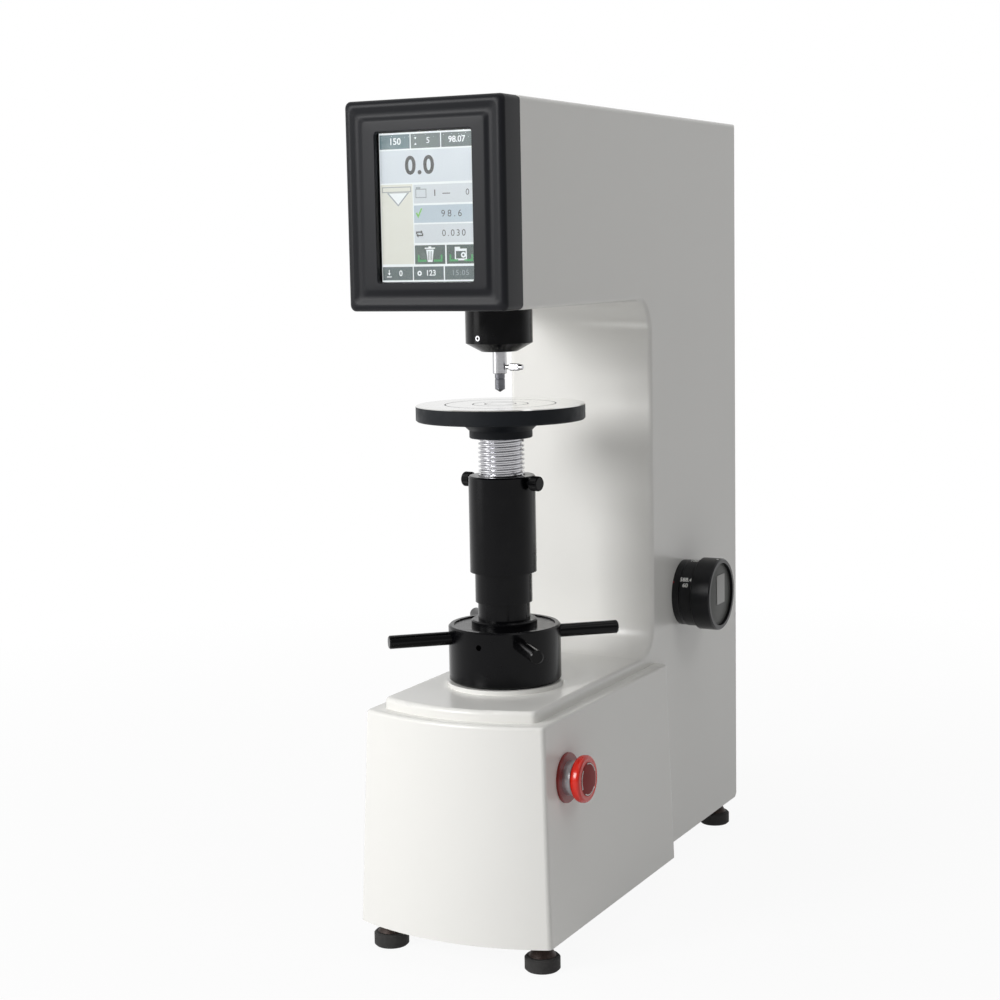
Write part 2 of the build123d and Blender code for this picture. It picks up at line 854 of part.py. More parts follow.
# Ground table: rim, cone, hub and a shank that drops into the screw
with BuildPart() as test_table:
    with BuildSketch(section(bench_axis)):
        add(
            closed_outline(
                (0, table_hub_bottom - table_shank_length),
                (table_shank_radius, table_hub_bottom - table_shank_length),
                (table_shank_radius, table_hub_bottom),
                (table_hub_radius, table_hub_bottom),
                (table_hub_radius, table_hub_bottom + table_hub_straight),
                (table_cone_radius, table_underside),
                (table_radius - table_edge, table_underside),
                (table_radius, table_underside + table_edge),
                (table_radius, table_top - table_edge / 2),
                (table_radius - table_edge / 2, table_top),
                (0, table_top),
            )
        )
    revolve(axis=test_axis)
    for groove_radius in groove_radii:
        with BuildSketch(level(table_top)):
            Circle(groove_radius + groove_width / 2)
            Circle(groove_radius - groove_width / 2, mode=Mode.SUBTRACT)
        extrude(amount=-groove_depth, mode=Mode.SUBTRACT)
save("test_table", test_table.part)

# Thrust bearing under the handwheel
ball_height = handwheel_seat + bearing_race + bearing_ball_radius
with BuildPart() as thrust_bearing:
    for race_bottom in (handwheel_seat, handwheel_seat + bearing_height - bearing_race):
        with BuildSketch(level(race_bottom)):
            Circle(bearing_outer_radius)
            Circle(bearing_inner_radius, mode=Mode.SUBTRACT)
        extrude(amount=bearing_race)
    with Locations(level(ball_height)):
        with PolarLocations((bearing_inner_radius + bearing_outer_radius) / 2, bearing_ball_count):
            Sphere(bearing_ball_radius)
save("thrust_bearing", thrust_bearing.part)

# Handwheel: a nut with four bars, turning on the bearing
handle_height = handwheel_top - handle_drop
handle_root = handwheel_radius - handle_socket


def handle_seat(index):
    """Plane across a handle at its inner end."""
    angle = radians(handle_first_angle + 360 * index / handle_count)
    outward = (cos(angle), sin(angle), 0)
    return seat(handle_root * outward[0], handle_root * outward[1], handle_height, outward, (0, 0, 1))


with BuildPart() as handwheel:
    with BuildSketch(level(handwheel_bottom)):
        Circle(handwheel_radius)
    extrude(amount=handwheel_height)
    chamfer(handwheel.edges().filter_by(GeomType.CIRCLE), length=handwheel_edge)
    with BuildSketch(level(handwheel_top)):
        Circle(handwheel_radius - handwheel_rim_width)
    extrude(amount=-handwheel_rim_depth, mode=Mode.SUBTRACT)
    with BuildSketch(level(handwheel_bottom)):
        Circle(bearing_outer_radius + bearing_gap)
    extrude(amount=bearing_height - handwheel_gap + screw_running_gap, mode=Mode.SUBTRACT)
    with BuildSketch(level(handwheel_bottom)):
        Circle(elevating_screw_radius + screw_running_gap)
    extrude(amount=handwheel_height, mode=Mode.SUBTRACT)
    for index in range(handle_count):
        with BuildSketch(handle_seat(index)):
            Circle(handle_radius)
        extrude(amount=handle_socket + handwheel_edge, mode=Mode.SUBTRACT)
    with BuildSketch(seat(0, -handwheel_radius, handwheel_top - lock_hole_drop, (0, -1, 0), (1, 0, 0))):
        Circle(lock_hole_radius)
    extrude(amount=-lock_hole_depth, mode=Mode.SUBTRACT)
save("handwheel", handwheel.part)

for index in range(handle_count):
    with BuildPart() as handle:
        with BuildSketch(handle_seat(index)):
            Circle(handle_radius)
        extrude(amount=handle_reach - handle_root)
        outward = handle_seat(index).z_dir
        tip = handle.edges().filter_by(GeomType.CIRCLE).sort_by(Axis(handle_seat(index).origin, outward))
        chamfer(tip[-1], length=handle_tip_edge)
    save(f"handle_{index + 1}", handle.part)

# Dust sleeves that telescope around the screw
with BuildPart() as lower_sleeve:
    with BuildSketch(level(handwheel_land)):
        Circle(sleeve_flange_radius)
    extrude(amount=sleeve_flange_height)
    chamfer(lower_sleeve.edges().sort_by(Axis.Z)[-1], length=sleeve_edge)
    with BuildSketch(level(handwheel_land)):
        Circle(lower_sleeve_outer)
    extrude(amount=lower_sleeve_top - handwheel_land)
    with BuildSketch(level(handwheel_land)):
        Circle(lower_sleeve_inner)
    extrude(amount=lower_sleeve_top - handwheel_land, mode=Mode.SUBTRACT)
save("lower_sleeve", lower_sleeve.part)

with BuildPart() as middle_sleeve:
    with BuildSketch(level(middle_sleeve_bottom)):
        Circle(middle_sleeve_outer)
        Circle(lower_sleeve_outer + sleeve_gap, mode=Mode.SUBTRACT)
    extrude(amount=middle_sleeve_top - middle_sleeve_bottom)
save("middle_sleeve", middle_sleeve.part)

clamp_screw_height = outer_sleeve_top - clamp_screw_drop
clamp_screw_start = elevating_screw_radius + 2 * sleeve_gap


def clamp_seat(index):
    """Plane across a clamp screw at its inner end, index 0 on the right and 1 on the left."""
    angle = radians(clamp_screw_angle + 180 * index)
    outward = (cos(angle), sin(angle), 0)
    return seat(
        clamp_screw_start * outward[0], clamp_screw_start * outward[1], clamp_screw_height, outward, (0, 0, 1)
    )


with BuildPart() as outer_sleeve:
    with BuildSketch(level(outer_sleeve_bottom)):
        Circle(outer_sleeve_outer)
    extrude(amount=outer_sleeve_top - outer_sleeve_bottom)
    chamfer(outer_sleeve.edges().sort_by(Axis.Z)[-1], length=sleeve_edge)
    with BuildSketch(level(outer_sleeve_bottom)):
        Circle(middle_sleeve_outer + sleeve_gap)
    extrude(amount=outer_sleeve_ceiling - outer_sleeve_bottom, mode=Mode.SUBTRACT)
    with BuildSketch(level(outer_sleeve_bottom)):
        Circle(elevating_screw_radius + sleeve_gap)
    extrude(amount=outer_sleeve_top - outer_sleeve_bottom, mode=Mode.SUBTRACT)
    for index in range(2):
        with BuildSketch(clamp_seat(index)):
            Circle(clamp_screw_radius + screw_hole_gap)
        extrude(amount=outer_sleeve_outer, mode=Mode.SUBTRACT)
save("outer_sleeve", outer_sleeve.part)

clamp_shank = outer_sleeve_outer + sleeve_gap - clamp_screw_start
clamp_head_start = clamp_shank + clamp_collar_length
clamp_head_end = clamp_head_start + clamp_head_length
for index, side_name in enumerate(("right", "left")):
    with BuildPart() as sleeve_screw:
        with BuildSketch(section(clamp_seat(index))):
            add(
                closed_outline(
                    (0, 0),
                    (clamp_screw_radius, 0),
                    (clamp_screw_radius, clamp_shank),
                    (clamp_collar_radius, clamp_shank),
                    (clamp_collar_radius, clamp_head_start),
                    (clamp_head_radius - clamp_head_edge, clamp_head_start),
                    (clamp_head_radius, clamp_head_start + clamp_head_edge),
                    (clamp_head_radius, clamp_head_end - clamp_head_edge),
                    (clamp_head_radius - clamp_head_edge, clamp_head_end),
                    (0, clamp_head_end),
                )
            )
        revolve(axis=Axis(clamp_seat(index).origin, clamp_seat(index).z_dir))
    save(f"sleeve_screw_{side_name}", sleeve_screw.part)

# Guide bush, nose, spindle and indenter
bush_top = head_floor + guide_bush_rise
boss_bottom = head_underside - nose_boss_length
with BuildPart() as spindle_guide:
    with BuildSketch(level(boss_bottom)):
        Circle(guide_bush_radius)
    extrude(amount=bush_top - boss_bottom)
    with BuildSketch(level(head_floor)):
        Circle(guide_bush_flange_radius)
    extrude(amount=guide_bush_flange_height)
    with BuildSketch(level(boss_bottom)):
        Circle(spindle_radius + spindle_running_gap)
    extrude(amount=bush_top - boss_bottom, mode=Mode.SUBTRACT)
save("spindle_guide", spindle_guide.part)

with BuildPart() as spindle_nose:
    with BuildSketch(level(nose_bottom)):
        Circle(nose_radius)
    extrude(amount=head_underside - nose_bottom)
    chamfer(
        spindle_nose.edges().sort_by(Axis.Z)[0],
        length=nose_chamfer_height,
        length2=nose_radius - nose_tip_radius,
    )
    with BuildSketch(level(boss_bottom)):
        Circle(nose_boss_radius)
    extrude(amount=nose_boss_length, mode=Mode.SUBTRACT)
    with BuildSketch(level(nose_bottom)):
        Circle(spindle_radius + sleeve_gap)
    extrude(amount=boss_bottom - nose_bottom, mode=Mode.SUBTRACT)
save("spindle_nose", spindle_nose.part)

collar_bottom = bush_top + spindle_running_gap
collar_top = collar_bottom + spindle_collar_height
indenter_screw_seat = seat(0, 0, indenter_screw_height, (1, 0, 0), (0, 1, 0))
with BuildPart() as spindle:
    with BuildSketch(level(spindle_bottom)):
        Circle(spindle_radius)
    extrude(amount=spindle_top - spindle_bottom)
    chamfer(spindle.edges().filter_by(GeomType.CIRCLE), length=spindle_edge)
    with BuildSketch(level(collar_bottom)):
        Circle(spindle_collar_radius)
    extrude(amount=spindle_collar_height)
    with BuildSketch(level(spindle_bottom)):
        Circle(indenter_shank_radius + indenter_gap)
    extrude(amount=indenter_shank_length + indenter_gap, mode=Mode.SUBTRACT)
    with BuildSketch(indenter_screw_seat):
        Circle(indenter_screw_radius + indenter_gap)
    extrude(amount=2 * spindle_radius, mode=Mode.SUBTRACT)
save("spindle", spindle.part)

with BuildPart() as indenter:
    with BuildSketch(section(bench_axis)):
        add(
            closed_outline(
                (0, indenter_tip),
                (indenter_radius, indenter_tip + indenter_cone_height),
                (indenter_radius, spindle_bottom),
                (indenter_shank_radius, spindle_bottom),
                (indenter_shank_radius, spindle_bottom + indenter_shank_length),
                (0, spindle_bottom + indenter_shank_length),
            )
        )
    revolve(axis=test_axis)
save("indenter", indenter.part)

neck_start = spindle_radius + sleeve_gap
neck_end = neck_start + indenter_screw_neck_length
head_taper = indenter_screw_reach - 2 * indenter_screw_neck_radius
with BuildPart() as indenter_screw:
    with BuildSketch(section(indenter_screw_seat)):
        add(
            closed_outline(
                (0, indenter_shank_radius + sleeve_gap),
                (indenter_screw_radius, indenter_shank_radius + sleeve_gap),
                (indenter_screw_radius, neck_start),
                (indenter_screw_neck_radius, neck_start),
                (indenter_screw_neck_radius, neck_end - indenter_screw_head_edge),
                (indenter_screw_head_radius, neck_end),
                (indenter_screw_head_radius, head_taper),
                (indenter_screw_neck_radius, indenter_screw_reach),
                (0, indenter_screw_reach),
            )
        )
    revolve(axis=Axis(indenter_screw_seat.origin, indenter_screw_seat.z_dir))
save("indenter_screw", indenter_screw.part)

# Spring that holds the spindle down on its guide, under the bridge
bridge_underside = bridge_height - bridge_thickness
spring_bottom = collar_top + spring_wire_radius + spindle_running_gap
spring_height = bridge_underside - spring_wire_radius - spindle_running_gap - spring_bottom
with BuildPart() as preload_spring:
    with BuildLine(level(spring_bottom)) as coil:
        Helix(spring_height / spring_turns, spring_height, spring_coil_radius)
    with BuildSketch(Plane(origin=coil.line @ 0, z_dir=coil.line % 0)):
        Circle(spring_wire_radius)
    sweep(is_frenet=True)
save("preload_spring", preload_spring.part)

# Bridge over the spindle: two legs, a top plate and cheeks that hold the lever's knife edge
knife_height = fulcrum_knife_side * sin(pi / 3)
knife_apex = fulcrum_height + 2 * knife_height / 3


def knife_outline(gap):
    """Triangle with its edge upward, grown outward by the gap."""
    half_side = fulcrum_knife_side / 2 + gap * sin(pi / 3) / cos(pi / 3)
    return closed_outline(
        (-fulcrum_ahead, knife_apex + 2 * gap),
        (-fulcrum_ahead - half_side, knife_apex - knife_height - gap),
        (-fulcrum_ahead + half_side, knife_apex - knife_height - gap),
    )


with BuildPart() as pivot_block:
    bridge_outside = bridge_leg_inside + bridge_leg_thickness
    with BuildSketch(facing(0)):
        with Locations((0, (head_floor + bridge_height) / 2)):
            Rectangle(2 * bridge_outside, bridge_height - head_floor)
        with Locations((0, (head_floor + bridge_underside) / 2)):
            Rectangle(2 * bridge_leg_inside, bridge_underside - head_floor, mode=Mode.SUBTRACT)
    extrude(amount=bridge_half_depth, both=True)
    for cheek_start in (cheek_inside, -cheek_inside - cheek_thickness):
        with BuildSketch(upright(cheek_start)):
            with Locations((-fulcrum_ahead, (bridge_height + fulcrum_height + cheek_rise) / 2)):
                Rectangle(2 * cheek_half_depth, fulcrum_height + cheek_rise - bridge_height)
            add(knife_outline(fulcrum_gap), mode=Mode.SUBTRACT)
        extrude(amount=cheek_thickness)
    with BuildSketch(level(bridge_height)):
        Circle(spindle_radius + sleeve_gap)
    extrude(amount=-bridge_thickness, mode=Mode.SUBTRACT)
save("pivot_block", pivot_block.part)

with BuildPart() as travel_sensor:
    with BuildSketch(upright(spindle_collar_radius + sensor_gap)):
        with Locations((0, collar_top + sensor_height / 2)):
            RectangleRounded(sensor_depth, sensor_height, 2)
    extrude(amount=bridge_leg_inside - spindle_collar_radius - sensor_gap)
save("travel_sensor", travel_sensor.part)

# Lever with its knife edge, and the hanger with three slotted weights
lever_rear_bottom = fulcrum_height - lever_rear_half_height
taper_start = bridge_half_depth + cheek_half_depth
with BuildPart() as main_lever:
    with BuildSketch(upright()):
        add(
            closed_outline(
                (-fulcrum_ahead - lever_nose, lever_bottom),
                (-load_knife_half_width, lever_bottom),
                (0, load_knife_tip),
                (load_knife_half_width, lever_bottom),
                (taper_start, lever_bottom),
                (lever_rear, lever_rear_bottom),
                (lever_rear, fulcrum_height + lever_rear_half_height),
                (taper_start, fulcrum_height + lever_half_height),
                (-fulcrum_ahead - lever_nose, fulcrum_height + lever_half_height),
            )
        )
        add(knife_outline(0), mode=Mode.SUBTRACT)
        with Locations((hanger_back, fulcrum_height)):
            Circle(hanger_pin_radius + hanger_pin_gap, mode=Mode.SUBTRACT)
    extrude(amount=lever_half_width, both=True)
save("main_lever", main_lever.part)

with BuildPart() as fulcrum_knife:
    with BuildSketch(upright()):
        add(knife_outline(0))
    extrude(amount=fulcrum_knife_reach, both=True)
save("fulcrum_knife", fulcrum_knife.part)

with BuildPart() as weight_hanger:
    cheek_start = lever_half_width + hanger_cheek_gap
    yoke_top = fulcrum_height - hanger_yoke_drop
    for first in (cheek_start, -cheek_start - hanger_cheek_thickness):
        with BuildSketch(upright(first)):
            with Locations((hanger_back, (yoke_top + fulcrum_height) / 2)):
                Rectangle(2 * hanger_cheek_half_depth, fulcrum_height - yoke_top)
            with Locations((hanger_back, fulcrum_height)):
                Circle(hanger_cheek_half_depth)
        extrude(amount=hanger_cheek_thickness)
    with BuildSketch(upright()):
        with Locations((hanger_back, fulcrum_height)):
            Circle(hanger_pin_radius)
        with Locations((hanger_back, yoke_top - hanger_plate_height / 2)):
            Rectangle(2 * hanger_cheek_half_depth, hanger_plate_height)
    extrude(amount=cheek_start + hanger_cheek_thickness, both=True)
    with BuildSketch(level(hanger_bottom)):
        with Locations((0, hanger_back)):
            Circle(hanger_rod_radius)
    extrude(amount=yoke_top - hanger_plate_height - hanger_bottom)
    with BuildSketch(level(hanger_bottom)):
        with Locations((0, hanger_back)):
            Circle(hanger_plate_radius)
    extrude(amount=hanger_plate_height)
save("weight_hanger", weight_hanger.part)

for index in range(weight_count):
    with BuildPart() as weight:
        with BuildSketch(level(weight_bottom + index * weight_thickness)):
            with Locations((0, hanger_back)):
                Circle(weight_radius)
                Circle(hanger_rod_radius + weight_bore_gap, mode=Mode.SUBTRACT)
            with Locations((0, hanger_back - weight_radius / 2)):
                Rectangle(2 * (hanger_rod_radius + weight_slot_gap), weight_radius, mode=Mode.SUBTRACT)
        extrude(amount=weight_thickness)
    save(f"weight_{index + 1}", weight.part)

# Load drive: a geared motor on the column wall with a cam under the lever's end
cam_lean = (load_cam_back - taper_start) / (lever_rear - taper_start)
cam_height = lever_bottom + cam_lean * (lever_rear_bottom - lever_bottom) - load_cam_gap - load_cam_radius
cam_seat = seat(0, load_cam_back, cam_height, (1, 0, 0), (0, 1, 0))
motor_end = -lever_half_width - motor_clearance


def cam_rim(turn):
    """Point on the cam's rim after a share of its full turn down, on either side."""
    radius = load_cam_radius - load_cam_drop * abs(turn)
    angle = radians(90) - radians(load_cam_turn) * turn
    return (radius * cos(angle), radius * sin(angle))


with BuildPart() as load_cam:
    with BuildSketch(cam_seat):
        with BuildLine():
            falling = Spline(*[cam_rim(step / cam_points) for step in range(cam_points + 1)])
            climbing = Spline(*[cam_rim(-step / cam_points) for step in range(cam_points + 1)])
            Line(falling @ 1, climbing @ 1)
        make_face()
    extrude(amount=load_cam_half_width, both=True)
    with BuildSketch(cam_seat):
        Circle(cam_shaft_radius)
    extrude(amount=motor_end - cam_shaft_grip)
save("load_cam", load_cam.part)

with BuildPart() as load_motor:
    with BuildSketch(cam_seat.offset(motor_end)):
        RectangleRounded(motor_depth, motor_height, motor_corner)
    extrude(amount=-(inner_half_width + motor_end))
    with BuildSketch(cam_seat.offset(motor_end)):
        Circle(cam_shaft_radius + screw_running_gap)
    extrude(amount=-(cam_shaft_grip + sleeve_gap), mode=Mode.SUBTRACT)
save("load_motor", load_motor.part)

# Load selector: fixed ring with a spigot, then dial, knob and shaft that turn together
dial_start = selector_ring_width + selector_gap
knob_start = dial_start + selector_dial_width
with BuildPart() as selector_ring:
    with BuildSketch(selector_seat):
        Circle(selector_ring_radius)
    extrude(amount=selector_ring_width)
    chamfer(selector_ring.faces().sort_by(Axis.X)[-1].edges(), length=selector_edge / 2)
    with BuildSketch(selector_seat):
        Circle(selector_spigot_radius)
    extrude(amount=-casting_wall)
    with BuildSketch(selector_seat.offset(selector_ring_width)):
        Circle(selector_shaft_radius + selector_running_gap)
    extrude(amount=-(selector_ring_width + casting_wall), mode=Mode.SUBTRACT)
save("selector_ring", selector_ring.part)

with BuildPart() as selector_dial:
    with BuildSketch(selector_seat.offset(dial_start)):
        Circle(selector_dial_radius)
    extrude(amount=selector_dial_width)
    chamfer(selector_dial.faces().sort_by(Axis.X)[0].edges(), length=selector_edge / 2)
    with BuildSketch(selector_seat.offset(dial_start)):
        Circle(selector_shaft_radius)
    extrude(amount=selector_dial_width, mode=Mode.SUBTRACT)
save("selector_dial", selector_dial.part)

with BuildPart() as selector_knob:
    with BuildSketch(selector_seat.offset(knob_start)):
        Circle(selector_knob_radius)
    extrude(amount=selector_knob_width)
    chamfer(selector_knob.edges().filter_by(GeomType.CIRCLE), length=selector_edge)
    with BuildSketch(selector_seat.offset(selector_outside)):
        Circle(selector_knob_radius - selector_knob_wall)
    extrude(amount=-selector_knob_recess, mode=Mode.SUBTRACT)
    with BuildSketch(selector_seat.offset(knob_start)):
        Circle(selector_shaft_radius)
    extrude(amount=selector_knob_width - 2 * selector_knob_recess, mode=Mode.SUBTRACT)
save("selector_knob", selector_knob.part)

with BuildPart() as selector_shaft:
    with BuildSketch(selector_seat.offset(selector_outside - 2 * selector_knob_recess)):
        Circle(selector_shaft_radius)
    extrude(amount=selector_shaft_inner_end - selector_reach + 2 * selector_knob_recess)
    with BuildSketch(upright(selector_shaft_inner_end)):
        with Locations((selector_back, selector_height)):
            Circle(selector_cam_radius - selector_lobe_radius)
            with PolarLocations(
                selector_cam_radius - selector_lobe_radius,
                selector_positions,
                angular_range=selector_positions * selector_step,
            ):
                Circle(selector_lobe_radius)
    extrude(amount=selector_cam_width)
save("selector_shaft", selector_shaft.part)

# Emergency stop: backing ring, collar, contacts, plunger and mushroom cap
contacts_depth = casting_wall + stop_contacts_gap
with BuildPart() as stop_ring:
    with BuildSketch(stop_seat):
        Circle(stop_ring_radius)
    extrude(amount=stop_ring_height)
    chamfer(stop_ring.faces().sort_by(Axis.X)[-1].edges(), length=stop_ring_height / 3)
    with BuildSketch(stop_seat):
        Circle(stop_collar_radius)
    extrude(amount=stop_ring_height, mode=Mode.SUBTRACT)
save("stop_ring", stop_ring.part)

with BuildPart() as stop_collar:
    with BuildSketch(stop_seat):
        Circle(stop_collar_radius)
    extrude(amount=stop_collar_height)
    chamfer(stop_collar.faces().sort_by(Axis.X)[-1].edges(), length=stop_gap * 2)
    with BuildSketch(stop_seat):
        Circle(stop_thread_radius)
    extrude(amount=-contacts_depth)
    with BuildSketch(stop_seat.offset(stop_collar_height)):
        Circle(stop_plunger_radius + stop_gap)
    extrude(amount=-(stop_collar_height + contacts_depth), mode=Mode.SUBTRACT)
save("stop_collar", stop_collar.part)

plunger_end = -contacts_depth - stop_plunger_tail
with BuildPart() as stop_contacts:
    with BuildSketch(stop_seat.offset(-contacts_depth)):
        Rectangle(2 * stop_contacts_half_width, 2 * stop_contacts_half_width)
    extrude(amount=-stop_contacts_length)
    with BuildSketch(stop_seat.offset(-contacts_depth)):
        Circle(stop_plunger_radius + stop_gap)
    extrude(amount=-(stop_plunger_tail + stop_travel + stop_gap), mode=Mode.SUBTRACT)
save("stop_contacts", stop_contacts.part)

cap_seat_height = stop_cap_top - stop_cap_seat
with BuildPart() as stop_plunger:
    with BuildSketch(stop_seat.offset(plunger_end)):
        Circle(stop_plunger_radius)
    extrude(amount=cap_seat_height - stop_gap - plunger_end)
save("stop_plunger", stop_plunger.part)

with BuildPart() as stop_cap:
    with BuildSketch(section(stop_seat)):
        with BuildLine():
            Polyline(
                (0, cap_seat_height),
                (stop_collar_radius + stop_gap, cap_seat_height),
                (stop_collar_radius + stop_gap, stop_cap_start),
                (stop_cap_back_radius, stop_cap_start),
            )
            skirt = TangentArc(
                (stop_cap_radius, stop_cap_widest),
                (stop_cap_back_radius, stop_cap_start),
                tangent=(0, -1),
            )
            Line(skirt @ 0, (stop_cap_radius, stop_cap_rim))
            crown = TangentArc(
                (stop_cap_radius, stop_cap_rim),
                (stop_cap_face_radius, stop_cap_shoulder),
                tangent=(0, 1),
            )
            TangentArc((0, stop_cap_top), crown @ 1, tangent=(1, 0))
            Line((0, stop_cap_top), (0, cap_seat_height))
        make_face()
    revolve(axis=stop_axis)
save("stop_cap", stop_cap.part)

# Mains inlet with the power switch in one flanged block
socket_height_centre = inlet_height - socket_drop
rocker_height_centre = inlet_height + rocker_rise
rocker_reach = (rocker_half_height**2 + rocker_tip**2) ** 0.5
rocker_pivot = flange_face - rocker_pivot_depth
with BuildPart() as mains_inlet:
    with BuildSketch(behind(column_rear)):
        with Locations((-inlet_side, inlet_height)):
            RectangleRounded(inlet_flange_width, inlet_flange_height, 2)
    extrude(amount=inlet_flange_thickness)
    with BuildSketch(behind(column_rear)):
        with Locations((-inlet_side, inlet_height)):
            Rectangle(inlet_body_width - inlet_wall_gap, inlet_body_height - inlet_wall_gap)
    extrude(amount=-inlet_body_depth)
    with BuildSketch(behind(flange_face)):
        with Locations((-inlet_side, socket_height_centre)):
            RectangleRounded(socket_width, socket_height, 2)
    extrude(amount=-socket_depth, mode=Mode.SUBTRACT)
    with BuildSketch(behind(flange_face - socket_depth)):
        with Locations((-inlet_side, socket_height_centre)):
            with Locations((-socket_pin_spread, 0), (0, socket_pin_stagger / 2), (socket_pin_spread, 0)):
                Rectangle(socket_pin_width, socket_pin_height)
    extrude(amount=socket_pin_length)
    with BuildSketch(behind(flange_face)):
        with Locations((-inlet_side, rocker_height_centre)):
            Rectangle(rocker_width + 2 * rocker_gap, 2 * (rocker_reach + rocker_gap))
    extrude(amount=-(rocker_pivot_depth + rocker_reach), mode=Mode.SUBTRACT)
    with BuildSketch(upright(inlet_side)):
        with Locations((rocker_pivot, rocker_height_centre)):
            Circle(rocker_pivot_radius + screw_running_gap)
    extrude(amount=rocker_width / 2 + rocker_pivot_length + rocker_gap, both=True, mode=Mode.SUBTRACT)
save("mains_inlet", mains_inlet.part)

with BuildPart() as power_rocker:
    with BuildSketch(upright(inlet_side)):
        add(
            closed_outline(
                (rocker_pivot - rocker_back, rocker_height_centre - rocker_back_half_height),
                (rocker_pivot + rocker_tip, rocker_height_centre - rocker_half_height),
                (rocker_pivot + rocker_pivot_depth, rocker_height_centre),
                (rocker_pivot + rocker_tip, rocker_height_centre + rocker_half_height),
                (rocker_pivot - rocker_back, rocker_height_centre + rocker_back_half_height),
            )
        )
    extrude(amount=rocker_width / 2, both=True)
    with BuildSketch(upright(inlet_side)):
        with Locations((rocker_pivot, rocker_height_centre)):
            Circle(rocker_pivot_radius)
    extrude(amount=rocker_width / 2 + rocker_pivot_length, both=True)
rest_tilt = Axis(upright(inlet_side).origin + Vector(0, rocker_pivot, rocker_height_centre), (1, 0, 0))
power_rocker.part = power_rocker.part.rotate(rest_tilt, -rocker_tilt)
save("power_rocker", power_rocker.part)

with BuildPart() as power_supply:
    with BuildSketch(level(base_floor)):
        with Locations((0, (supply_front + supply_rear) / 2)):
            RectangleRounded(2 * supply_half_width, supply_rear - supply_front, supply_corner)
    extrude(amount=supply_height)
    with BuildSketch(level(base_floor + supply_height)):
        with Locations((0, supply_front + terminal_block_depth)):
            Rectangle(terminal_block_width, terminal_block_depth)
    extrude(amount=terminal_block_height)
save("power_supply", power_supply.part)

# Levelling feet: rubber pads, swivelling studs and their lock nuts
stud_seat = foot_pad_height + foot_gap
pad_socket = foot_pad_height - foot_socket_depth
for index, (foot_x, foot_y) in enumerate(foot_places):
    foot_seat = seat(foot_x, foot_y, 0, (0, 0, 1), (1, 0, 0))
    foot_axis = Axis(foot_seat.origin, foot_seat.z_dir)
    with BuildPart() as foot_pad:
        with BuildSketch(foot_seat):
            Circle(foot_pad_radius)
        extrude(amount=foot_pad_height)
        chamfer(foot_pad.edges().filter_by(GeomType.CIRCLE), length=foot_pad_edge)
        with BuildSketch(foot_seat.offset(foot_pad_height)):
            Circle(foot_socket_radius)
        extrude(amount=-foot_socket_depth, mode=Mode.SUBTRACT)
    save(f"foot_pad_{index + 1}", foot_pad.part)

    with BuildPart() as foot_stud:
        with BuildSketch(section(foot_seat)):
            add(
                closed_outline(
                    (0, pad_socket + foot_gap),
                    (foot_ball_radius, pad_socket + foot_gap),
                    (foot_ball_radius, stud_seat),
                    (foot_cone_radius, stud_seat),
                    (foot_cone_top_radius, stud_seat + foot_cone_height),
                    (foot_stud_radius, stud_seat + foot_cone_height),
                    (foot_stud_radius, foot_stud_top),
                    (0, foot_stud_top),
                )
            )
        revolve(axis=foot_axis)
    save(f"foot_stud_{index + 1}", foot_stud.part)

with BuildPart() as foot_nuts:
    with BuildSketch(level(casting_bottom)):
        with Locations(*foot_places):
            RegularPolygon(foot_nut_across_flats / 2, 6, major_radius=False)
            Circle(foot_stud_radius + foot_thread_gap, mode=Mode.SUBTRACT)
    extrude(amount=-foot_nut_height)
save("foot_nuts", foot_nuts.part)
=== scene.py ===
# %% [markdown]
# # A bench hardness tester
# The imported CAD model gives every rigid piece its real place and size, in metres. This file dresses it:
# it sets up a small photo studio, gives each real finish its own procedural material, and models by hand
# what a CAD solid leaves plain, such as threads, knurls and the picture on the screen.

# %% Load the frame
from math import atan2, cos, pi, radians, sin

import bmesh
import bpy
from mathutils import Matrix, Vector


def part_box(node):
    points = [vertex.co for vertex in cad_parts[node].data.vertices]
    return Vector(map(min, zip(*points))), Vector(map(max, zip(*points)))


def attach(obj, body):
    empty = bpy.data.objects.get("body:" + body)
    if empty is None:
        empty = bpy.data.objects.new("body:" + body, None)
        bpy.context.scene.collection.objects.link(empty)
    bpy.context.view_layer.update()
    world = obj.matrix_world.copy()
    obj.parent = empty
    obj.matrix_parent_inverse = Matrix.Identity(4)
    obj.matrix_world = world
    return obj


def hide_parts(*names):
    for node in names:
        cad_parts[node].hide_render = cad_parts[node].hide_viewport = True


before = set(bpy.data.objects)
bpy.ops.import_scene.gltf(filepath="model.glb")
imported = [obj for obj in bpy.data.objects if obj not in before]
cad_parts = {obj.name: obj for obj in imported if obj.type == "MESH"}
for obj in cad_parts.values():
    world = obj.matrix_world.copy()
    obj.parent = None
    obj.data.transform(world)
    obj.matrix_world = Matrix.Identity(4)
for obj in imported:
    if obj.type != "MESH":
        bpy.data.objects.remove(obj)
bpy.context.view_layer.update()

# %% [markdown]
# Everything on this machine lines up with the test axis, the upright line through spindle and table.
# One function turns a place in millimetres, measured from the foot of that line, into the row frame.

# %% Places on the machine
MM = 0.001
table_low, table_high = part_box("test_table")
AXIS = Vector(((table_low.x + table_high.x) / 2, (table_low.y + table_high.y) / 2, 0.0))


def at(x, y, z):
    """A place x mm right of the test axis, y mm behind it and z mm above the bench."""
    return AXIS + Vector((x, y, z)) * MM


print("test axis at", [round(value, 5) for value in AXIS])

# %% [markdown]
# The camera stands to the right and a little above the table, as a product photographer would place it,
# with a fairly long lens so that the column doesn't seem to fall away. Yaw, pitch and roll are turned one
# after the other, in the order in which a tripod head has them.

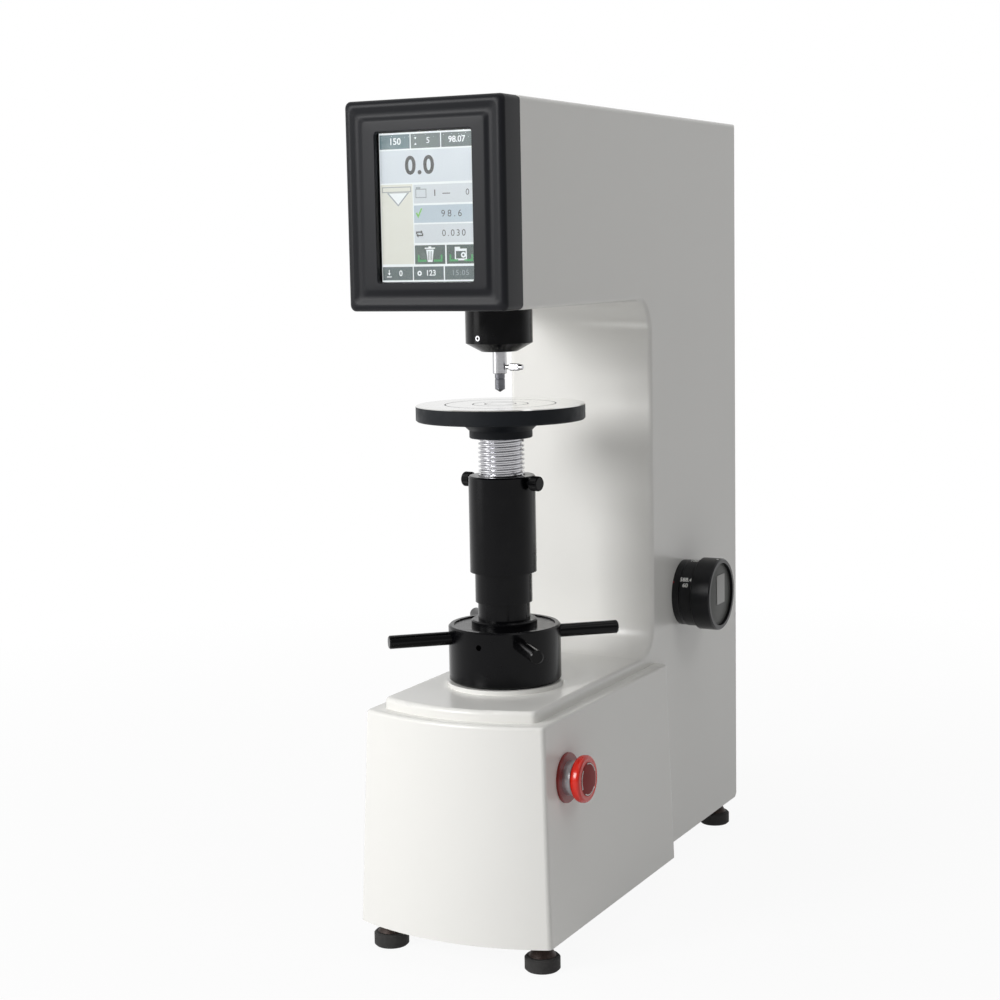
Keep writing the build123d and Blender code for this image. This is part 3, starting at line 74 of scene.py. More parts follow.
# %% The camera
CAMERA_YAW, CAMERA_PITCH, CAMERA_ROLL = 27.31, 7.37, -1.09
CAMERA_PLACE = at(781.3, -1517.35, 612.72)
SENSOR_WIDTH, LENS_LENGTH = 36.0, 69.69
camera_data = bpy.data.cameras.new("camera")
camera_data.sensor_width = SENSOR_WIDTH
camera_data.lens = LENS_LENGTH
camera = bpy.data.objects.new("camera", camera_data)
camera.location = CAMERA_PLACE
turns = (
    Matrix.Rotation(radians(CAMERA_YAW), 4, "Z")
    @ Matrix.Rotation(radians(90 - CAMERA_PITCH), 4, "X")
    @ Matrix.Rotation(radians(CAMERA_ROLL), 4, "Z")
)
camera.rotation_euler = turns.to_euler()
bpy.context.scene.collection.objects.link(camera)
bpy.context.scene.camera = camera
bpy.context.scene.view_settings.view_transform = "Standard"
print("camera at", [round(value, 3) for value in camera.location])

# %% [markdown]
# A material is a small network of nodes. These three helpers are all that the finishes below need: one
# turns a hex colour, as a paint chart gives it, into the linear values that a renderer works with, one
# starts a material, and one adds a node together with its settings and its links.

# %% Helpers for materials
def linear(hex_colour):
    """Linear red, green, blue and alpha of an sRGB hex colour."""
    values = [int(hex_colour[place:place + 2], 16) / 255 for place in (0, 2, 4)]
    return [v / 12.92 if v <= 0.04045 else ((v + 0.055) / 1.055) ** 2.4 for v in values] + [1.0]


def new_material(name, colour, roughness, metallic=0.0):
    """A material with its node tree and its surface shader."""
    material = bpy.data.materials.new(name)
    material.use_nodes = True
    surface = material.node_tree.nodes["Principled BSDF"]
    surface.inputs["Base Color"].default_value = linear(colour)
    surface.inputs["Roughness"].default_value = roughness
    surface.inputs["Metallic"].default_value = metallic
    return material, material.node_tree, surface


def add_node(tree, kind, settings=None, links=None):
    """A shader node with its values set and its inputs linked, both by name."""
    node = tree.nodes.new(kind)
    for name, value in (settings or {}).items():
        if name in node.inputs:
            node.inputs[name].default_value = value
        else:
            setattr(node, name, value)
    for name, source in (links or {}).items():
        tree.links.new(source, node.inputs[name])
    return node


# %% [markdown]
# The frame is a filled and sanded iron casting, sprayed with gloss enamel. Sprayed enamel isn't flat: it
# has a soft orange peel a few millimetres wide, and the filler under it leaves slow waves that bend the
# reflections. Only the orange peel is drawn, as a bump; the colour itself drifts only a little.

# %% Gloss enamel
def grain(tree, size, detail=2.0, stretch=(1.0, 1.0, 1.0)):
    """Noise whose lumps are about size millimetres across, on the piece's own coordinates."""
    place = add_node(tree, "ShaderNodeTexCoord")
    scaled = add_node(tree, "ShaderNodeMapping", {"Scale": stretch}, {"Vector": place.outputs["Object"]})
    settings = {"Scale": 1 / (size * MM), "Detail": detail}
    return add_node(tree, "ShaderNodeTexNoise", settings, {"Vector": scaled.outputs["Vector"]})


def tint(tree, surface, factor, first, second):
    """Mix two hex colours by a factor and use the result as the surface's colour."""
    colours = {"Color1": linear(first), "Color2": linear(second)}
    mix = add_node(tree, "ShaderNodeMixRGB", colours, {"Fac": factor})
    tree.links.new(mix.outputs["Color"], surface.inputs["Base Color"])
    return mix


def spread(tree, source, low, high, to_low, to_high):
    """Map a range of a texture's values to another range."""
    settings = {"From Min": low, "From Max": high, "To Min": to_low, "To Max": to_high}
    return add_node(tree, "ShaderNodeMapRange", settings, {"Value": source})


def emboss(tree, surface, height, depth, strength=1.0, under=None):
    """Turn a texture's height into a bump depth millimetres deep, on top of another bump."""
    links = {"Height": height}
    if under:
        links["Normal"] = under.outputs["Normal"]
    bump = add_node(tree, "ShaderNodeBump", {"Strength": strength, "Distance": depth * MM}, links)
    tree.links.new(bump.outputs["Normal"], surface.inputs["Normal"])
    return bump


def grained(name, colour, roughness, shades, bumps, metallic=0.0, specular=None):
    """A finish that drifts between two shades, with bumps of a depth and strength, each over a grain."""
    material, tree, surface = new_material(name, colour, roughness, metallic)
    if specular is not None:
        surface.inputs["Specular IOR Level"].default_value = specular
    first, second, *size = shades
    tint(tree, surface, grain(tree, *size).outputs["Fac"], first, second)
    depth, strength, *size = bumps
    emboss(tree, surface, grain(tree, *size).outputs["Fac"], depth, strength)
    return material


enamel = grained(
    "gloss_enamel", "EDECE8", 0.26, ("EEEDE9", "EBEAE6", 160.0, 1.0), (0.01, 0.25, 2.2), specular=0.4
)
print("material", enamel.name)

# %% [markdown]
# The screen housing is an ABS moulding with a fine spark-eroded texture, charcoal with a touch of blue.
# The texture is finer than a pixel, so it is drawn about three times as coarse as it is.

# %% Charcoal moulding
charcoal = grained(
    "textured_charcoal_abs", "141519", 0.42, ("121317", "17181C", 60.0),
    (0.015, 0.35, 0.8, 3.0), specular=0.18,
)
print("material", charcoal.name)

# %% [markdown]
# The capstan, the cover tubes and the nose are turned steel with a polished black finish. Turning leaves
# rings too fine to count, so light smears sideways along the piece. The rings are noise squeezed along
# the axis, and a few handling marks vary the gloss.

# %% Polished black steel
BLACK_SPECULAR = 0.15


def turned_black(name, colour, axis_stretch, roughness):
    """Black finish over turned steel, with its rings square to the axis that is stretched."""
    material, tree, surface = new_material(name, colour, roughness)
    surface.inputs["Specular IOR Level"].default_value = BLACK_SPECULAR
    rings = grain(tree, 6.0, 2.0, axis_stretch)
    marks = grain(tree, 14.0, 4.0)
    rough = spread(tree, marks.outputs["Fac"], 0.3, 0.75, roughness * 0.8, roughness * 1.5)
    tree.links.new(rough.outputs["Result"], surface.inputs["Roughness"])
    emboss(tree, surface, rings.outputs["Fac"], 0.01, 0.3)
    return material


black_steel = turned_black("polished_black_steel", "050507", (0.2, 0.2, 16.0), 0.2)
rod_black = turned_black("polished_black_rod", "050506", (1.0, 1.0, 1.0), 0.18)
rim_black = turned_black("satin_blackened_steel", "15181C", (0.2, 0.2, 12.0), 0.42)
print("materials", black_steel.name, rod_black.name, rim_black.name)

# %% [markdown]
# Bright steel is what the lead screw and the spindle are turned from. A metal's colour is its
# reflection, so it stays a plain light grey and its metallic value is 1.

# %% Bright steel
bright_steel = grained(
    "turned_bright_steel", "C9C9CC", 0.22, ("B9B9BD", "D6D6D8", 5.0, 3.0, (0.3, 0.3, 8.0)),
    (0.01, 0.3, 3.0, 2.0, (0.2, 0.2, 20.0)), 1.0,
)
grey_steel = grained(
    "ground_tool_steel", "6E6F74", 0.28, ("5D5E63", "85868B", 4.0, 3.0, (0.3, 0.3, 9.0)),
    (0.01, 0.3, 2.0, 2.0, (0.2, 0.2, 20.0)), 1.0,
)

# %% [markdown]
# The table's top is faced on a lathe and ground, so its marks run in circles round the test axis. A wave
# texture in rings needs its centre on that axis, which a Mapping node gives it.

# %% Ground table top
ground_top, tree, surface = new_material("ring_ground_steel", "D2D2D0", 0.16, 1.0)
place = add_node(tree, "ShaderNodeTexCoord")
centred = add_node(tree, "ShaderNodeMapping", {"Location": -AXIS}, {"Vector": place.outputs["Object"]})
rings = add_node(
    tree,
    "ShaderNodeTexWave",
    {"wave_type": "RINGS", "rings_direction": "Z", "Scale": 260.0, "Distortion": 1.5, "Detail": 3.0},
    {"Vector": centred.outputs["Vector"]},
)
tint(tree, surface, rings.outputs["Fac"], "D2D2D0", "E2E2E0")
emboss(tree, surface, rings.outputs["Fac"], 0.004, 0.1)
ring_dark, tree, surface = new_material("scribed_ring_shadow", "3A3A3C", 0.4, 1.0)
tint(tree, surface, grain(tree, 5.0).outputs["Fac"], "2E2E30", "48484A")
print("materials", ground_top.name, ring_dark.name)

# %% [markdown]
# Small parts: a satin knob, signal-red moulded plastic for the stop button, a bead-blasted aluminium
# collar, black moulded plastic, and rubber that has gone a little grey where it stands on the bench.

# %% Plastics, aluminium and rubber
knob_black = grained(
    "satin_anodised_black", "0B0C0F", 0.34, ("090A0C", "101115", 12.0, 3.0),
    (0.012, 0.35, 3.0, 2.0, (14.0, 0.3, 0.3)), specular=0.3,
)
signal_red = grained(
    "signal_red_plastic", "D8200F", 0.22, ("CF1D0E", "DF2512", 9.0, 2.0), (0.01, 0.25, 1.2, 2.0)
)
dark_red = grained(
    "dark_red_plastic", "7E120F", 0.35, ("74100E", "8A1511", 5.0, 2.0), (0.01, 0.3, 1.0, 2.0)
)
browned_steel = grained(
    "browned_steel", "2A1E1A", 0.5, ("221814", "382821", 4.0, 4.0), (0.02, 0.4, 1.5, 3.0), 0.4
)
blasted_aluminium = grained(
    "blasted_aluminium", "C4C5C9", 0.3, ("B6B7BC", "CFD0D3", 3.0, 3.0), (0.01, 0.3, 0.5, 2.0), 1.0
)
moulded_black = grained(
    "moulded_black_plastic", "121214", 0.45, ("101012", "161619", 7.0, 2.0),
    (0.015, 0.4, 0.7, 3.0), specular=0.35,
)
foot_rubber = grained(
    "moulded_rubber", "302F2F", 0.75, ("2A2929", "3C3B3A", 5.0, 4.0), (0.06, 0.6, 1.5, 4.0), specular=0.3
)

# %% [markdown]
# The screen's cover is flat float glass with a hard, even polish. Through it the picture must stay
# readable, so it is clear and only its reflections show.

# %% Cover glass
clear_glass, tree, surface = new_material("clear_cover_glass", "F4F8F8", 0.03)
surface.inputs["Transmission Weight"].default_value = 1.0
surface.inputs["IOR"].default_value = 1.45
surface.inputs["Specular IOR Level"].default_value = 0.3
emboss(tree, surface, grain(tree, 40.0, 1.0).outputs["Fac"], 0.01, 0.05)

# %% [markdown]
# Pieces inside the housing show only where a cover is off or a gap lets light in, but each still has its
# real finish: grey iron castings, bronze bearings, green board, zinc-plated sheet.

# %% Finishes inside the housing
grey_iron = grained(
    "grey_cast_iron", "5A5C60", 0.55, ("4C4E52", "6A6C70", 6.0, 5.0), (0.08, 0.6, 1.5, 4.0), 0.6
)
bronze = grained(
    "bearing_bronze", "B58A4A", 0.3, ("A67C40", "C2975A", 4.0, 3.0, (0.3, 0.3, 8.0)),
    (0.01, 0.3, 2.0, 2.0, (0.2, 0.2, 18.0)), 1.0,
)
zinc_sheet = grained(
    "zinc_plated_sheet", "AEB1B5", 0.36, ("A0A3A8", "BCBFC2", 10.0, 4.0),
    (0.01, 0.3, 2.0, 3.0, (1.0, 12.0, 1.0)), 1.0,
)
board_green = grained(
    "green_solder_mask", "175A36", 0.35, ("124C2D", "1E6A41", 4.0, 3.0), (0.03, 0.5, 1.5, 1.0)
)

# %% [markdown]
# A CAD node whose shape is right keeps it and only changes its finish. This table says which node is
# made of what.

# %% Finishes of the CAD nodes
FINISHES = {
    enamel: ["frame_casting", "top_cover", "rear_cover"],
    charcoal: ["screen_bezel"],
    black_steel: [
        "spindle_nose", "handwheel", "lower_sleeve", "middle_sleeve", "outer_sleeve", "cover_screws",
    ],
    rod_black: [
        "handle_1", "handle_2", "handle_3", "handle_4", "sleeve_screw_right", "sleeve_screw_left",
    ],
    bright_steel: [
        "elevating_screw", "thrust_bearing", "spindle", "indenter_screw", "preload_spring",
        "fulcrum_knife", "weight_hanger", "selector_shaft", "guide_key", "stop_plunger", "load_cam",
        "foot_nuts",
    ],
    grey_steel: ["indenter"],
    browned_steel: ["foot_stud_1", "foot_stud_2", "foot_stud_3", "foot_stud_4"],
    grey_iron: ["pivot_block", "main_lever", "weight_1", "weight_2", "weight_3"],
    bronze: ["spindle_guide", "screw_guide"],
    zinc_sheet: ["load_motor", "travel_sensor", "power_supply"],
    board_green: ["control_board"],
    knob_black: ["selector_ring", "selector_dial", "selector_knob"],
    dark_red: ["stop_ring"],
    signal_red: ["stop_cap"],
    blasted_aluminium: ["stop_collar"],
    moulded_black: ["stop_contacts", "mains_inlet", "power_rocker", "display_module"],
    clear_glass: ["screen_glass"],
    foot_rubber: ["foot_pad_1", "foot_pad_2", "foot_pad_3", "foot_pad_4"],
    rim_black: ["test_table"],
}
for material, names in FINISHES.items():
    for name in names:
        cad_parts[name].data.materials.clear()
        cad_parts[name].data.materials.append(material)
bare = set(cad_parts) - {name for names in FINISHES.values() for name in names}
print("finished", len(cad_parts) - len(bare), "CAD nodes; without a finish:", sorted(bare))

# %% [markdown]
# From here on, pieces are modelled as by hand. A mesh operator works on whatever is selected, so each
# piece starts with nothing else selected, and faces or edges are then selected by where they are.
# Sizes come from the CAD nodes' boxes, measured in millimetres from the test axis.

# %% Helpers for modelling
def low(name):
    """A CAD node's lowest corner in millimetres from the foot of the test axis."""
    return (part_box(name)[0] - AXIS) / MM


def high(name):
    """A CAD node's highest corner in millimetres from the foot of the test axis."""
    return (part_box(name)[1] - AXIS) / MM


def start(add, name, **settings):
    """Add a primitive with nothing else selected, and open it in edit mode."""
    bpy.ops.object.select_all(action="DESELECT")
    add(**settings)
    piece = bpy.context.object
    piece.name = name
    piece.data.name = name
    bpy.ops.object.mode_set(mode="EDIT")
    return piece


def settle():
    """Move the place that a primitive was added at into its mesh, so that its points are real places."""
    bpy.ops.object.mode_set(mode="OBJECT")
    bpy.ops.object.transform_apply()
    bpy.ops.object.mode_set(mode="EDIT")
    bpy.ops.mesh.select_all(action="SELECT")


def pick(piece, kind, test):
    """Select the faces, edges or vertices whose middle, in metres, and normal pass a test."""
    bpy.ops.mesh.select_mode(type=kind)
    bpy.ops.mesh.select_all(action="DESELECT")
    mesh = bmesh.from_edit_mesh(piece.data)
    count = 0
    for part in {"FACE": mesh.faces, "EDGE": mesh.edges, "VERT": mesh.verts}[kind]:
        if kind == "FACE":
            middle, normal = part.calc_center_median(), part.normal
        elif kind == "EDGE":
            middle = (part.verts[0].co + part.verts[1].co) / 2
            normal = (part.verts[1].co - part.verts[0].co).normalized()
        else:
            middle, normal = part.co, part.normal
        if test(middle, normal):
            part.select_set(True)
            count += 1
    mesh.select_flush_mode()
    bmesh.update_edit_mesh(piece.data)
    return count


def alone(piece):
    """Leave edit mode with only this piece selected."""
    if bpy.context.mode != "OBJECT":
        bpy.ops.object.mode_set(mode="OBJECT")
    bpy.ops.object.select_all(action="DESELECT")
    piece.select_set(True)
    bpy.context.view_layer.objects.active = piece


def soften(piece, width, segments=3, angle=30.0):
    """Round the edges sharper than an angle with an applied bevel, its width in millimetres."""
    alone(piece)
    bevel = piece.modifiers.new("round", "BEVEL")
    bevel.width = width * MM
    bevel.segments = segments
    bevel.limit_method = "ANGLE"
    bevel.angle_limit = radians(angle)
    bpy.ops.object.modifier_apply(modifier=bevel.name)


def stand(piece, place, axis=(0, 0, 1)):
    """Turn a piece's own Z along an axis, put its origin at a place and apply both to the mesh."""
    alone(piece)
    piece.location = place
    piece.rotation_euler = Vector(axis).to_track_quat("Z", "Y").to_euler()
    bpy.ops.object.transform_apply()


def finish(piece, body, replaced=(), angle=30.0):
    """Shade a piece and say which body it rides on and which nodes it stands for."""
    alone(piece)
    bpy.ops.object.transform_apply()
    bpy.ops.object.shade_smooth_by_angle(angle=radians(angle))
    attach(piece, body)
    if replaced:
        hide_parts(*replaced)
    print(piece.name, "on", body, "with", len(piece.data.polygons), "faces")
    return piece


def coat(piece, *materials):
    """Give a piece its materials, the first of them on every face."""
    for material in materials:
        piece.data.materials.append(material)


def paint(piece, slot_index, test):
    """Give faces whose middle, in metres, and normal pass a test another of the piece's materials."""
    for face in piece.data.polygons:
        if test(face.center, face.normal):
            face.material_index = slot_index


def merged(name, *pieces):
    """Join pieces into one object with this name."""
    alone(pieces[0])
    for piece in pieces:
        piece.select_set(True)
    bpy.ops.object.join()
    whole = bpy.context.object
    whole.name = whole.data.name = name
    return whole


def copied(piece, name):
    """A copy of a piece with its own mesh."""
    alone(piece)
    bpy.ops.object.duplicate()
    twin = bpy.context.object
    twin.name = twin.data.name = name
    return twin


def push(rise=0.0):
    """Extrude the selection and move the new part up by a rise in millimetres."""
    bpy.ops.mesh.extrude_region_move(TRANSFORM_OT_translate={"value": (0, 0, rise * MM)})


def swell(factor):
    """Widen or narrow the selection square to the upright axis."""
    bpy.ops.transform.resize(value=(factor, factor, 1))


def level_way(angle):
    """The level direction at an angle in degrees round the test axis."""
    return Vector((cos(radians(angle)), sin(radians(angle)), 0))


# %% [markdown]
# Most of this machine was made on a lathe. A turned piece is drawn as half of its section: one vertex is
# extruded from point to point, and the line is then spun round. Each point is a radius and a height.

# %% Helpers for turned pieces
WELD = 0.001 * MM


def drawn_line(name, points):
    """A line through (radius, height) points in millimetres, open in edit mode."""
    piece = start(bpy.ops.mesh.primitive_plane_add, name, size=MM)
    bpy.ops.mesh.select_mode(type="VERT")
    bpy.ops.mesh.merge(type="CENTER")
    bpy.ops.transform.translate(value=(points[0][0] * MM, 0, points[0][1] * MM))
    for before, after in zip(points, points[1:]):
        step = ((after[0] - before[0]) * MM, 0, (after[1] - before[1]) * MM)
        bpy.ops.mesh.extrude_vertices_move(TRANSFORM_OT_translate={"value": step})
    return piece


def turned(name, points, steps=64):
    """Spin a line of (radius, height) points, in millimetres, round the upright axis."""
    piece = drawn_line(name, points)
    bpy.ops.mesh.select_all(action="SELECT")
    bpy.ops.mesh.spin(steps=steps, angle=2 * pi, center=(0, 0, 0), axis=(0, 0, 1))
    bpy.ops.mesh.select_all(action="SELECT")
    bpy.ops.mesh.remove_doubles(threshold=WELD)
    bpy.ops.mesh.normals_make_consistent(inside=False)
    alone(piece)
    return piece


# %% [markdown]
# Screw heads that fingers turn have a knurled rim. The rim starts as a circle with twice as many points
# as it has ridges, every second point is pulled in, and the outline is extruded along the screw.

# %% Helper for knurled heads
def knurled(name, radius, length, ridges, depth, edge):
    """A knurled barrel that stands on its own origin, with sloping ends."""
    settings = {"vertices": 2 * ridges, "radius": radius * MM, "fill_type": "NGON"}
    piece = start(bpy.ops.mesh.primitive_circle_add, name, **settings)
    mesh = bmesh.from_edit_mesh(piece.data)
    bpy.ops.mesh.select_mode(type="VERT")
    bpy.ops.mesh.select_all(action="DESELECT")
    mesh.verts.ensure_lookup_table()
    for vertex in list(mesh.verts)[::2]:
        vertex.select_set(True)
    mesh.select_flush_mode()
    swell(1 - depth / radius)
    bpy.ops.mesh.select_all(action="SELECT")
    shrink = 1 - edge / radius
    swell(shrink)
    for rise, factor in ((edge, 1 / shrink), (length - 2 * edge, 1.0), (edge, shrink)):
        push(rise)
        swell(factor)
    bpy.ops.mesh.select_all(action="SELECT")
    bpy.ops.mesh.normals_make_consistent(inside=False)
    alone(piece)
    return piece


# %% [markdown]
# The lead screw is the eye-catcher under the table. A real thread is one groove that climbs a pitch per
# turn. The section of one pitch is drawn once, and a Screw modifier repeats it: it turns the line and
# lifts it by a pitch each turn, so the last point of one turn meets the first point of the next. Two
# cuts square to the axis then close the ends.

# %% Lead screw
PITCH = 4.0
CREST, ROOT = 20.5, 18.3
screw_low, screw_high = low("elevating_screw").z, high("elevating_screw").z
THREAD = [(ROOT, 0.0), (ROOT, 0.9), (CREST, 1.9), (CREST, 3.0), (ROOT, PITCH)]


def thread_along(name, points, pitch, length, steps=48):
    """A thread from a section of one pitch, from its own origin up to a length."""
    piece = drawn_line(name, [(radius, height - pitch) for radius, height in points])
    alone(piece)
    screw = piece.modifiers.new("thread", "SCREW")
    screw.angle = 2 * pi
    screw.screw_offset = pitch * MM
    screw.iterations = int(length / pitch) + 2
    screw.steps = steps
    screw.render_steps = steps
    screw.use_merge_vertices = True
    screw.merge_threshold = WELD
    screw.use_smooth_shade = False
    bpy.ops.object.modifier_apply(modifier=screw.name)
    bpy.ops.object.mode_set(mode="EDIT")
    bpy.ops.mesh.select_all(action="SELECT")
    bpy.ops.mesh.remove_doubles(threshold=WELD)
    for height, side in ((0.0, (0, 0, -1)), (length, (0, 0, 1))):
        bpy.ops.mesh.select_all(action="SELECT")
        bpy.ops.mesh.bisect(plane_co=(0, 0, height * MM), plane_no=side, use_fill=True, clear_outer=True)
    bpy.ops.mesh.select_all(action="SELECT")
    bpy.ops.mesh.normals_make_consistent(inside=False)
    alone(piece)
    return piece


lead_screw = thread_along("lead_screw", THREAD, PITCH, screw_high - screw_low)
coat(lead_screw, bright_steel)
stand(lead_screw, at(0, 0, screw_low))
finish(lead_screw, "lift", ["elevating_screw"])

# %% [markdown]
# The round table is one forging turned all over: a wide rim with a fine bright corner, a cone and a hub.
# Its top is ground to a mirror and carries three scribed rings that help to centre a specimen. The rim
# stays blackened, so the piece has two materials, and the top is picked by its height.

# %% Round table
TABLE_TOP = high("test_table").z
TABLE_RADIUS = high("test_table").x
RIM_HEIGHT, RIM_EDGE, RIM_UNDER_EDGE = 14.0, 0.8, 1.2
HUB_RADIUS, HUB_DROP, HUB_STRAIGHT, HUB_EDGE, CONE_RADIUS = 28.0, 29.7, 6.5, 0.6, 38.0
RING_RADII, RING_HALF_WIDTH, RING_DEPTH = (13.8, 24.5, 49.0), 0.6, 0.6
RING_REACH, TOP_SKIN = RING_RADII[-1] + 2, 0.1
hub_bottom = TABLE_TOP - HUB_DROP
rim_bottom = TABLE_TOP - RIM_HEIGHT
outline = [(0, hub_bottom), (HUB_RADIUS - HUB_EDGE, hub_bottom), (HUB_RADIUS, hub_bottom + HUB_EDGE)]
outline += [(HUB_RADIUS, hub_bottom + HUB_STRAIGHT), (CONE_RADIUS, rim_bottom)]
outline += [(TABLE_RADIUS - RIM_UNDER_EDGE, rim_bottom), (TABLE_RADIUS, rim_bottom + RIM_UNDER_EDGE)]
outline += [(TABLE_RADIUS, TABLE_TOP - RIM_EDGE), (TABLE_RADIUS - RIM_EDGE, TABLE_TOP)]
for ring in reversed(RING_RADII):
    for side in (1, -1):
        edge = (ring + side * RING_HALF_WIDTH, TABLE_TOP)
        floor_point = (ring + side * RING_HALF_WIDTH / 2, TABLE_TOP - RING_DEPTH)
        outline += [edge, floor_point][::side]
outline += [(0, TABLE_TOP)]
round_table = turned("round_table", outline, 128)
coat(round_table, rim_black, ground_top, ring_dark)
stand(round_table, AXIS)
top_from, top_skin_from = (TABLE_TOP - RIM_EDGE) * MM, (TABLE_TOP - TOP_SKIN) * MM


def in_a_ring(middle, normal):
    """True for the sloping faces of the scribed rings."""
    return top_from < middle.z < top_skin_from and (middle - AXIS).xy.length < RING_REACH * MM


paint(round_table, 1, lambda middle, normal: middle.z > top_from)
paint(round_table, 2, in_a_ring)
finish(round_table, "lift", ["test_table"])

# %% [markdown]
# The screen housing is a moulding. It starts as a cube with four rounded long corners. Its front is then
# extruded again and again, and each new outline is a little smaller: first along a quarter circle for the
# soft outer edge, then a lip, a shallow gutter, and a slope that rises in an S to the flat field round
# the window. The back is pushed in for the hollow, and the window's two outlines are bridged.

# %% Screen housing
HOUSING_CORNER, HOUSING_EDGE, HOUSING_WALL = 5.0, 5.0, 4.0
LIP_END, GUTTER_START, GUTTER_END, GUTTER_DEPTH = 6.6, 9.4, 12.6, 1.5
SLOPE_END, ARC_STEPS, CORNER_STEPS = 18.4, 8, 8
GLASS_MARGIN, WINDOW_CHAMFER, SMOOTH_BELOW = 5.0, 0.4, 35.0
housing_low, housing_high = low("screen_bezel"), high("screen_bezel")
glass_low, glass_high = low("screen_glass"), high("screen_glass")
window_low = glass_low + Vector((GLASS_MARGIN, 0, GLASS_MARGIN))
window_high = glass_high - Vector((GLASS_MARGIN, 0, GLASS_MARGIN))


def outline_to(piece, first, last, y):
    """Stretch the selected outline to two corners and set it y mm behind the test axis."""
    mesh = bmesh.from_edit_mesh(piece.data)
    places = [vertex.co for vertex in mesh.verts if vertex.select]
    lows = [min(place[axis] for place in places) for axis in range(3)]
    highs = [max(place[axis] for place in places) for axis in range(3)]
    now = (Vector(lows) + Vector(highs)) / 2
    there = at((first.x + last.x) / 2, y, (first.z + last.z) / 2)
    across = (last.x - first.x) * MM / (highs[0] - lows[0])
    upward = (last.z - first.z) * MM / (highs[2] - lows[2])
    bpy.ops.transform.resize(value=(across, 1, upward), center_override=now)
    bpy.ops.transform.translate(value=there - now)


def next_outline(piece, inset, depth):
    """Extrude the housing's front and make it inset mm smaller all round, depth mm behind the front."""
    push()
    border = Vector((inset, 0, inset))
    outline_to(piece, housing_low + border, housing_high - border, housing_low.y + depth)


core_low = housing_low + Vector((0, HOUSING_EDGE, 0))
housing = start(
    bpy.ops.mesh.primitive_cube_add,
    "screen_housing",
    size=1,
    location=at(*((core_low + housing_high) / 2)),
    scale=(housing_high - core_low) * MM,
)
settle()
pick(housing, "EDGE", lambda middle, along: abs(along.y) > 0.9)
bpy.ops.mesh.bevel(offset=HOUSING_CORNER * MM, segments=CORNER_STEPS, affect="EDGES")
pick(housing, "FACE", lambda middle, normal: normal.y < -0.999)
for step in range(1, ARC_STEPS + 1):
    turn = pi / 2 * step / ARC_STEPS
    next_outline(housing, HOUSING_EDGE * (1 - cos(turn)), HOUSING_EDGE * (1 - sin(turn)))
for inset, depth in ((LIP_END, 0), (GUTTER_START, GUTTER_DEPTH), (GUTTER_END, GUTTER_DEPTH)):
    next_outline(housing, inset, depth)
for step in range(1, ARC_STEPS + 1):
    share = step / ARC_STEPS
    sunk = GUTTER_DEPTH * (1 + cos(pi * share)) / 2
    next_outline(housing, GUTTER_END + (SLOPE_END - GUTTER_END) * share, sunk)
push()
outline_to(housing, window_low, window_high, housing_low.y)
push()
chamfer = Vector((WINDOW_CHAMFER, 0, WINDOW_CHAMFER))
outline_to(housing, window_low + chamfer, window_high - chamfer, housing_low.y + WINDOW_CHAMFER)
bpy.ops.mesh.delete(type="ONLY_FACE")
pick(housing, "FACE", lambda middle, normal: normal.y > 0.999)
wall = Vector((HOUSING_WALL, 0, HOUSING_WALL))
hollow = (housing_low + wall, housing_high - wall)
push()
outline_to(housing, *hollow, housing_high.y)
for first, last in (hollow, (window_low + chamfer, window_high - chamfer)):
    push()
    outline_to(housing, first, last, housing_low.y + HOUSING_WALL)
bpy.ops.mesh.delete(type="ONLY_FACE")
bpy.ops.mesh.select_mode(type="EDGE")
bpy.ops.mesh.select_all(action="DESELECT")
bpy.ops.mesh.select_non_manifold(
    extend=False,
    use_boundary=True,
    use_wire=False,
    use_multi_face=False,
    use_non_contiguous=False,
    use_verts=False,
)
bpy.ops.mesh.bridge_edge_loops()
bpy.ops.mesh.select_all(action="SELECT")
bpy.ops.mesh.normals_make_consistent(inside=False)
alone(housing)
coat(housing, charcoal)
finish(housing, "frame", ["screen_bezel"], SMOOTH_BELOW)

# %% [markdown]
# Behind the glass sits the display. The lit picture is a set of thin tiles laid on a dark panel, each
# layer a twentieth of a millimetre in front of the last. A tile is placed by its share of the picture's
# width and height, from the top left corner, as a page layout is. A screen makes its own light, so its
# colours are emission as well as colour.

# %% The display's finish and its panel
PICTURE_LEFT, PICTURE_RIGHT, PICTURE_BOTTOM, PICTURE_TOP = -44.2, 44.4, 587.7, 709.0
LAYER, PANEL_SETBACK, PANEL_LIP, PANEL_DEPTH, GRID_DARKER = 0.05, 0.8, 1.0, 0.2, 0.94
SCREEN_BLACK = (0.01, 0.01, 0.01, 1.0)
panel_low = low("display_module") + Vector((0, PANEL_SETBACK, 0))
panel_high = high("display_module")


def lit(name, colour, strength=0.85):
    """A backlit colour, with a trace of the pixel grid drawn five times as coarse as it is."""
    material, tree, surface = new_material(name, colour, 0.35)
    dots = grain(tree, 1.2, 1.0)
    faint = [value * GRID_DARKER for value in linear(colour)[:3]] + [1.0]
    colours = {"Color1": linear(colour), "Color2": faint}
    mix = add_node(tree, "ShaderNodeMixRGB", colours, {"Fac": dots.outputs["Fac"]})
    tree.links.new(mix.outputs["Color"], surface.inputs["Emission Color"])
    surface.inputs["Base Color"].default_value = SCREEN_BLACK
    surface.inputs["Emission Strength"].default_value = strength
    return material


panel = start(
    bpy.ops.mesh.primitive_cube_add,
    "display_panel",
    size=1,
    location=at(*((panel_low + panel_high) / 2)),
    scale=(panel_high - panel_low) * MM,
)
settle()
pick(panel, "FACE", lambda middle, normal: normal.y < -0.9)
bpy.ops.mesh.inset(thickness=PANEL_LIP * MM, depth=0)
bpy.ops.mesh.inset(thickness=PANEL_DEPTH * MM, depth=-PANEL_DEPTH * MM)
soften(panel, 0.3, 2)
coat(panel, moulded_black)
finish(panel, "frame", ["display_module"])

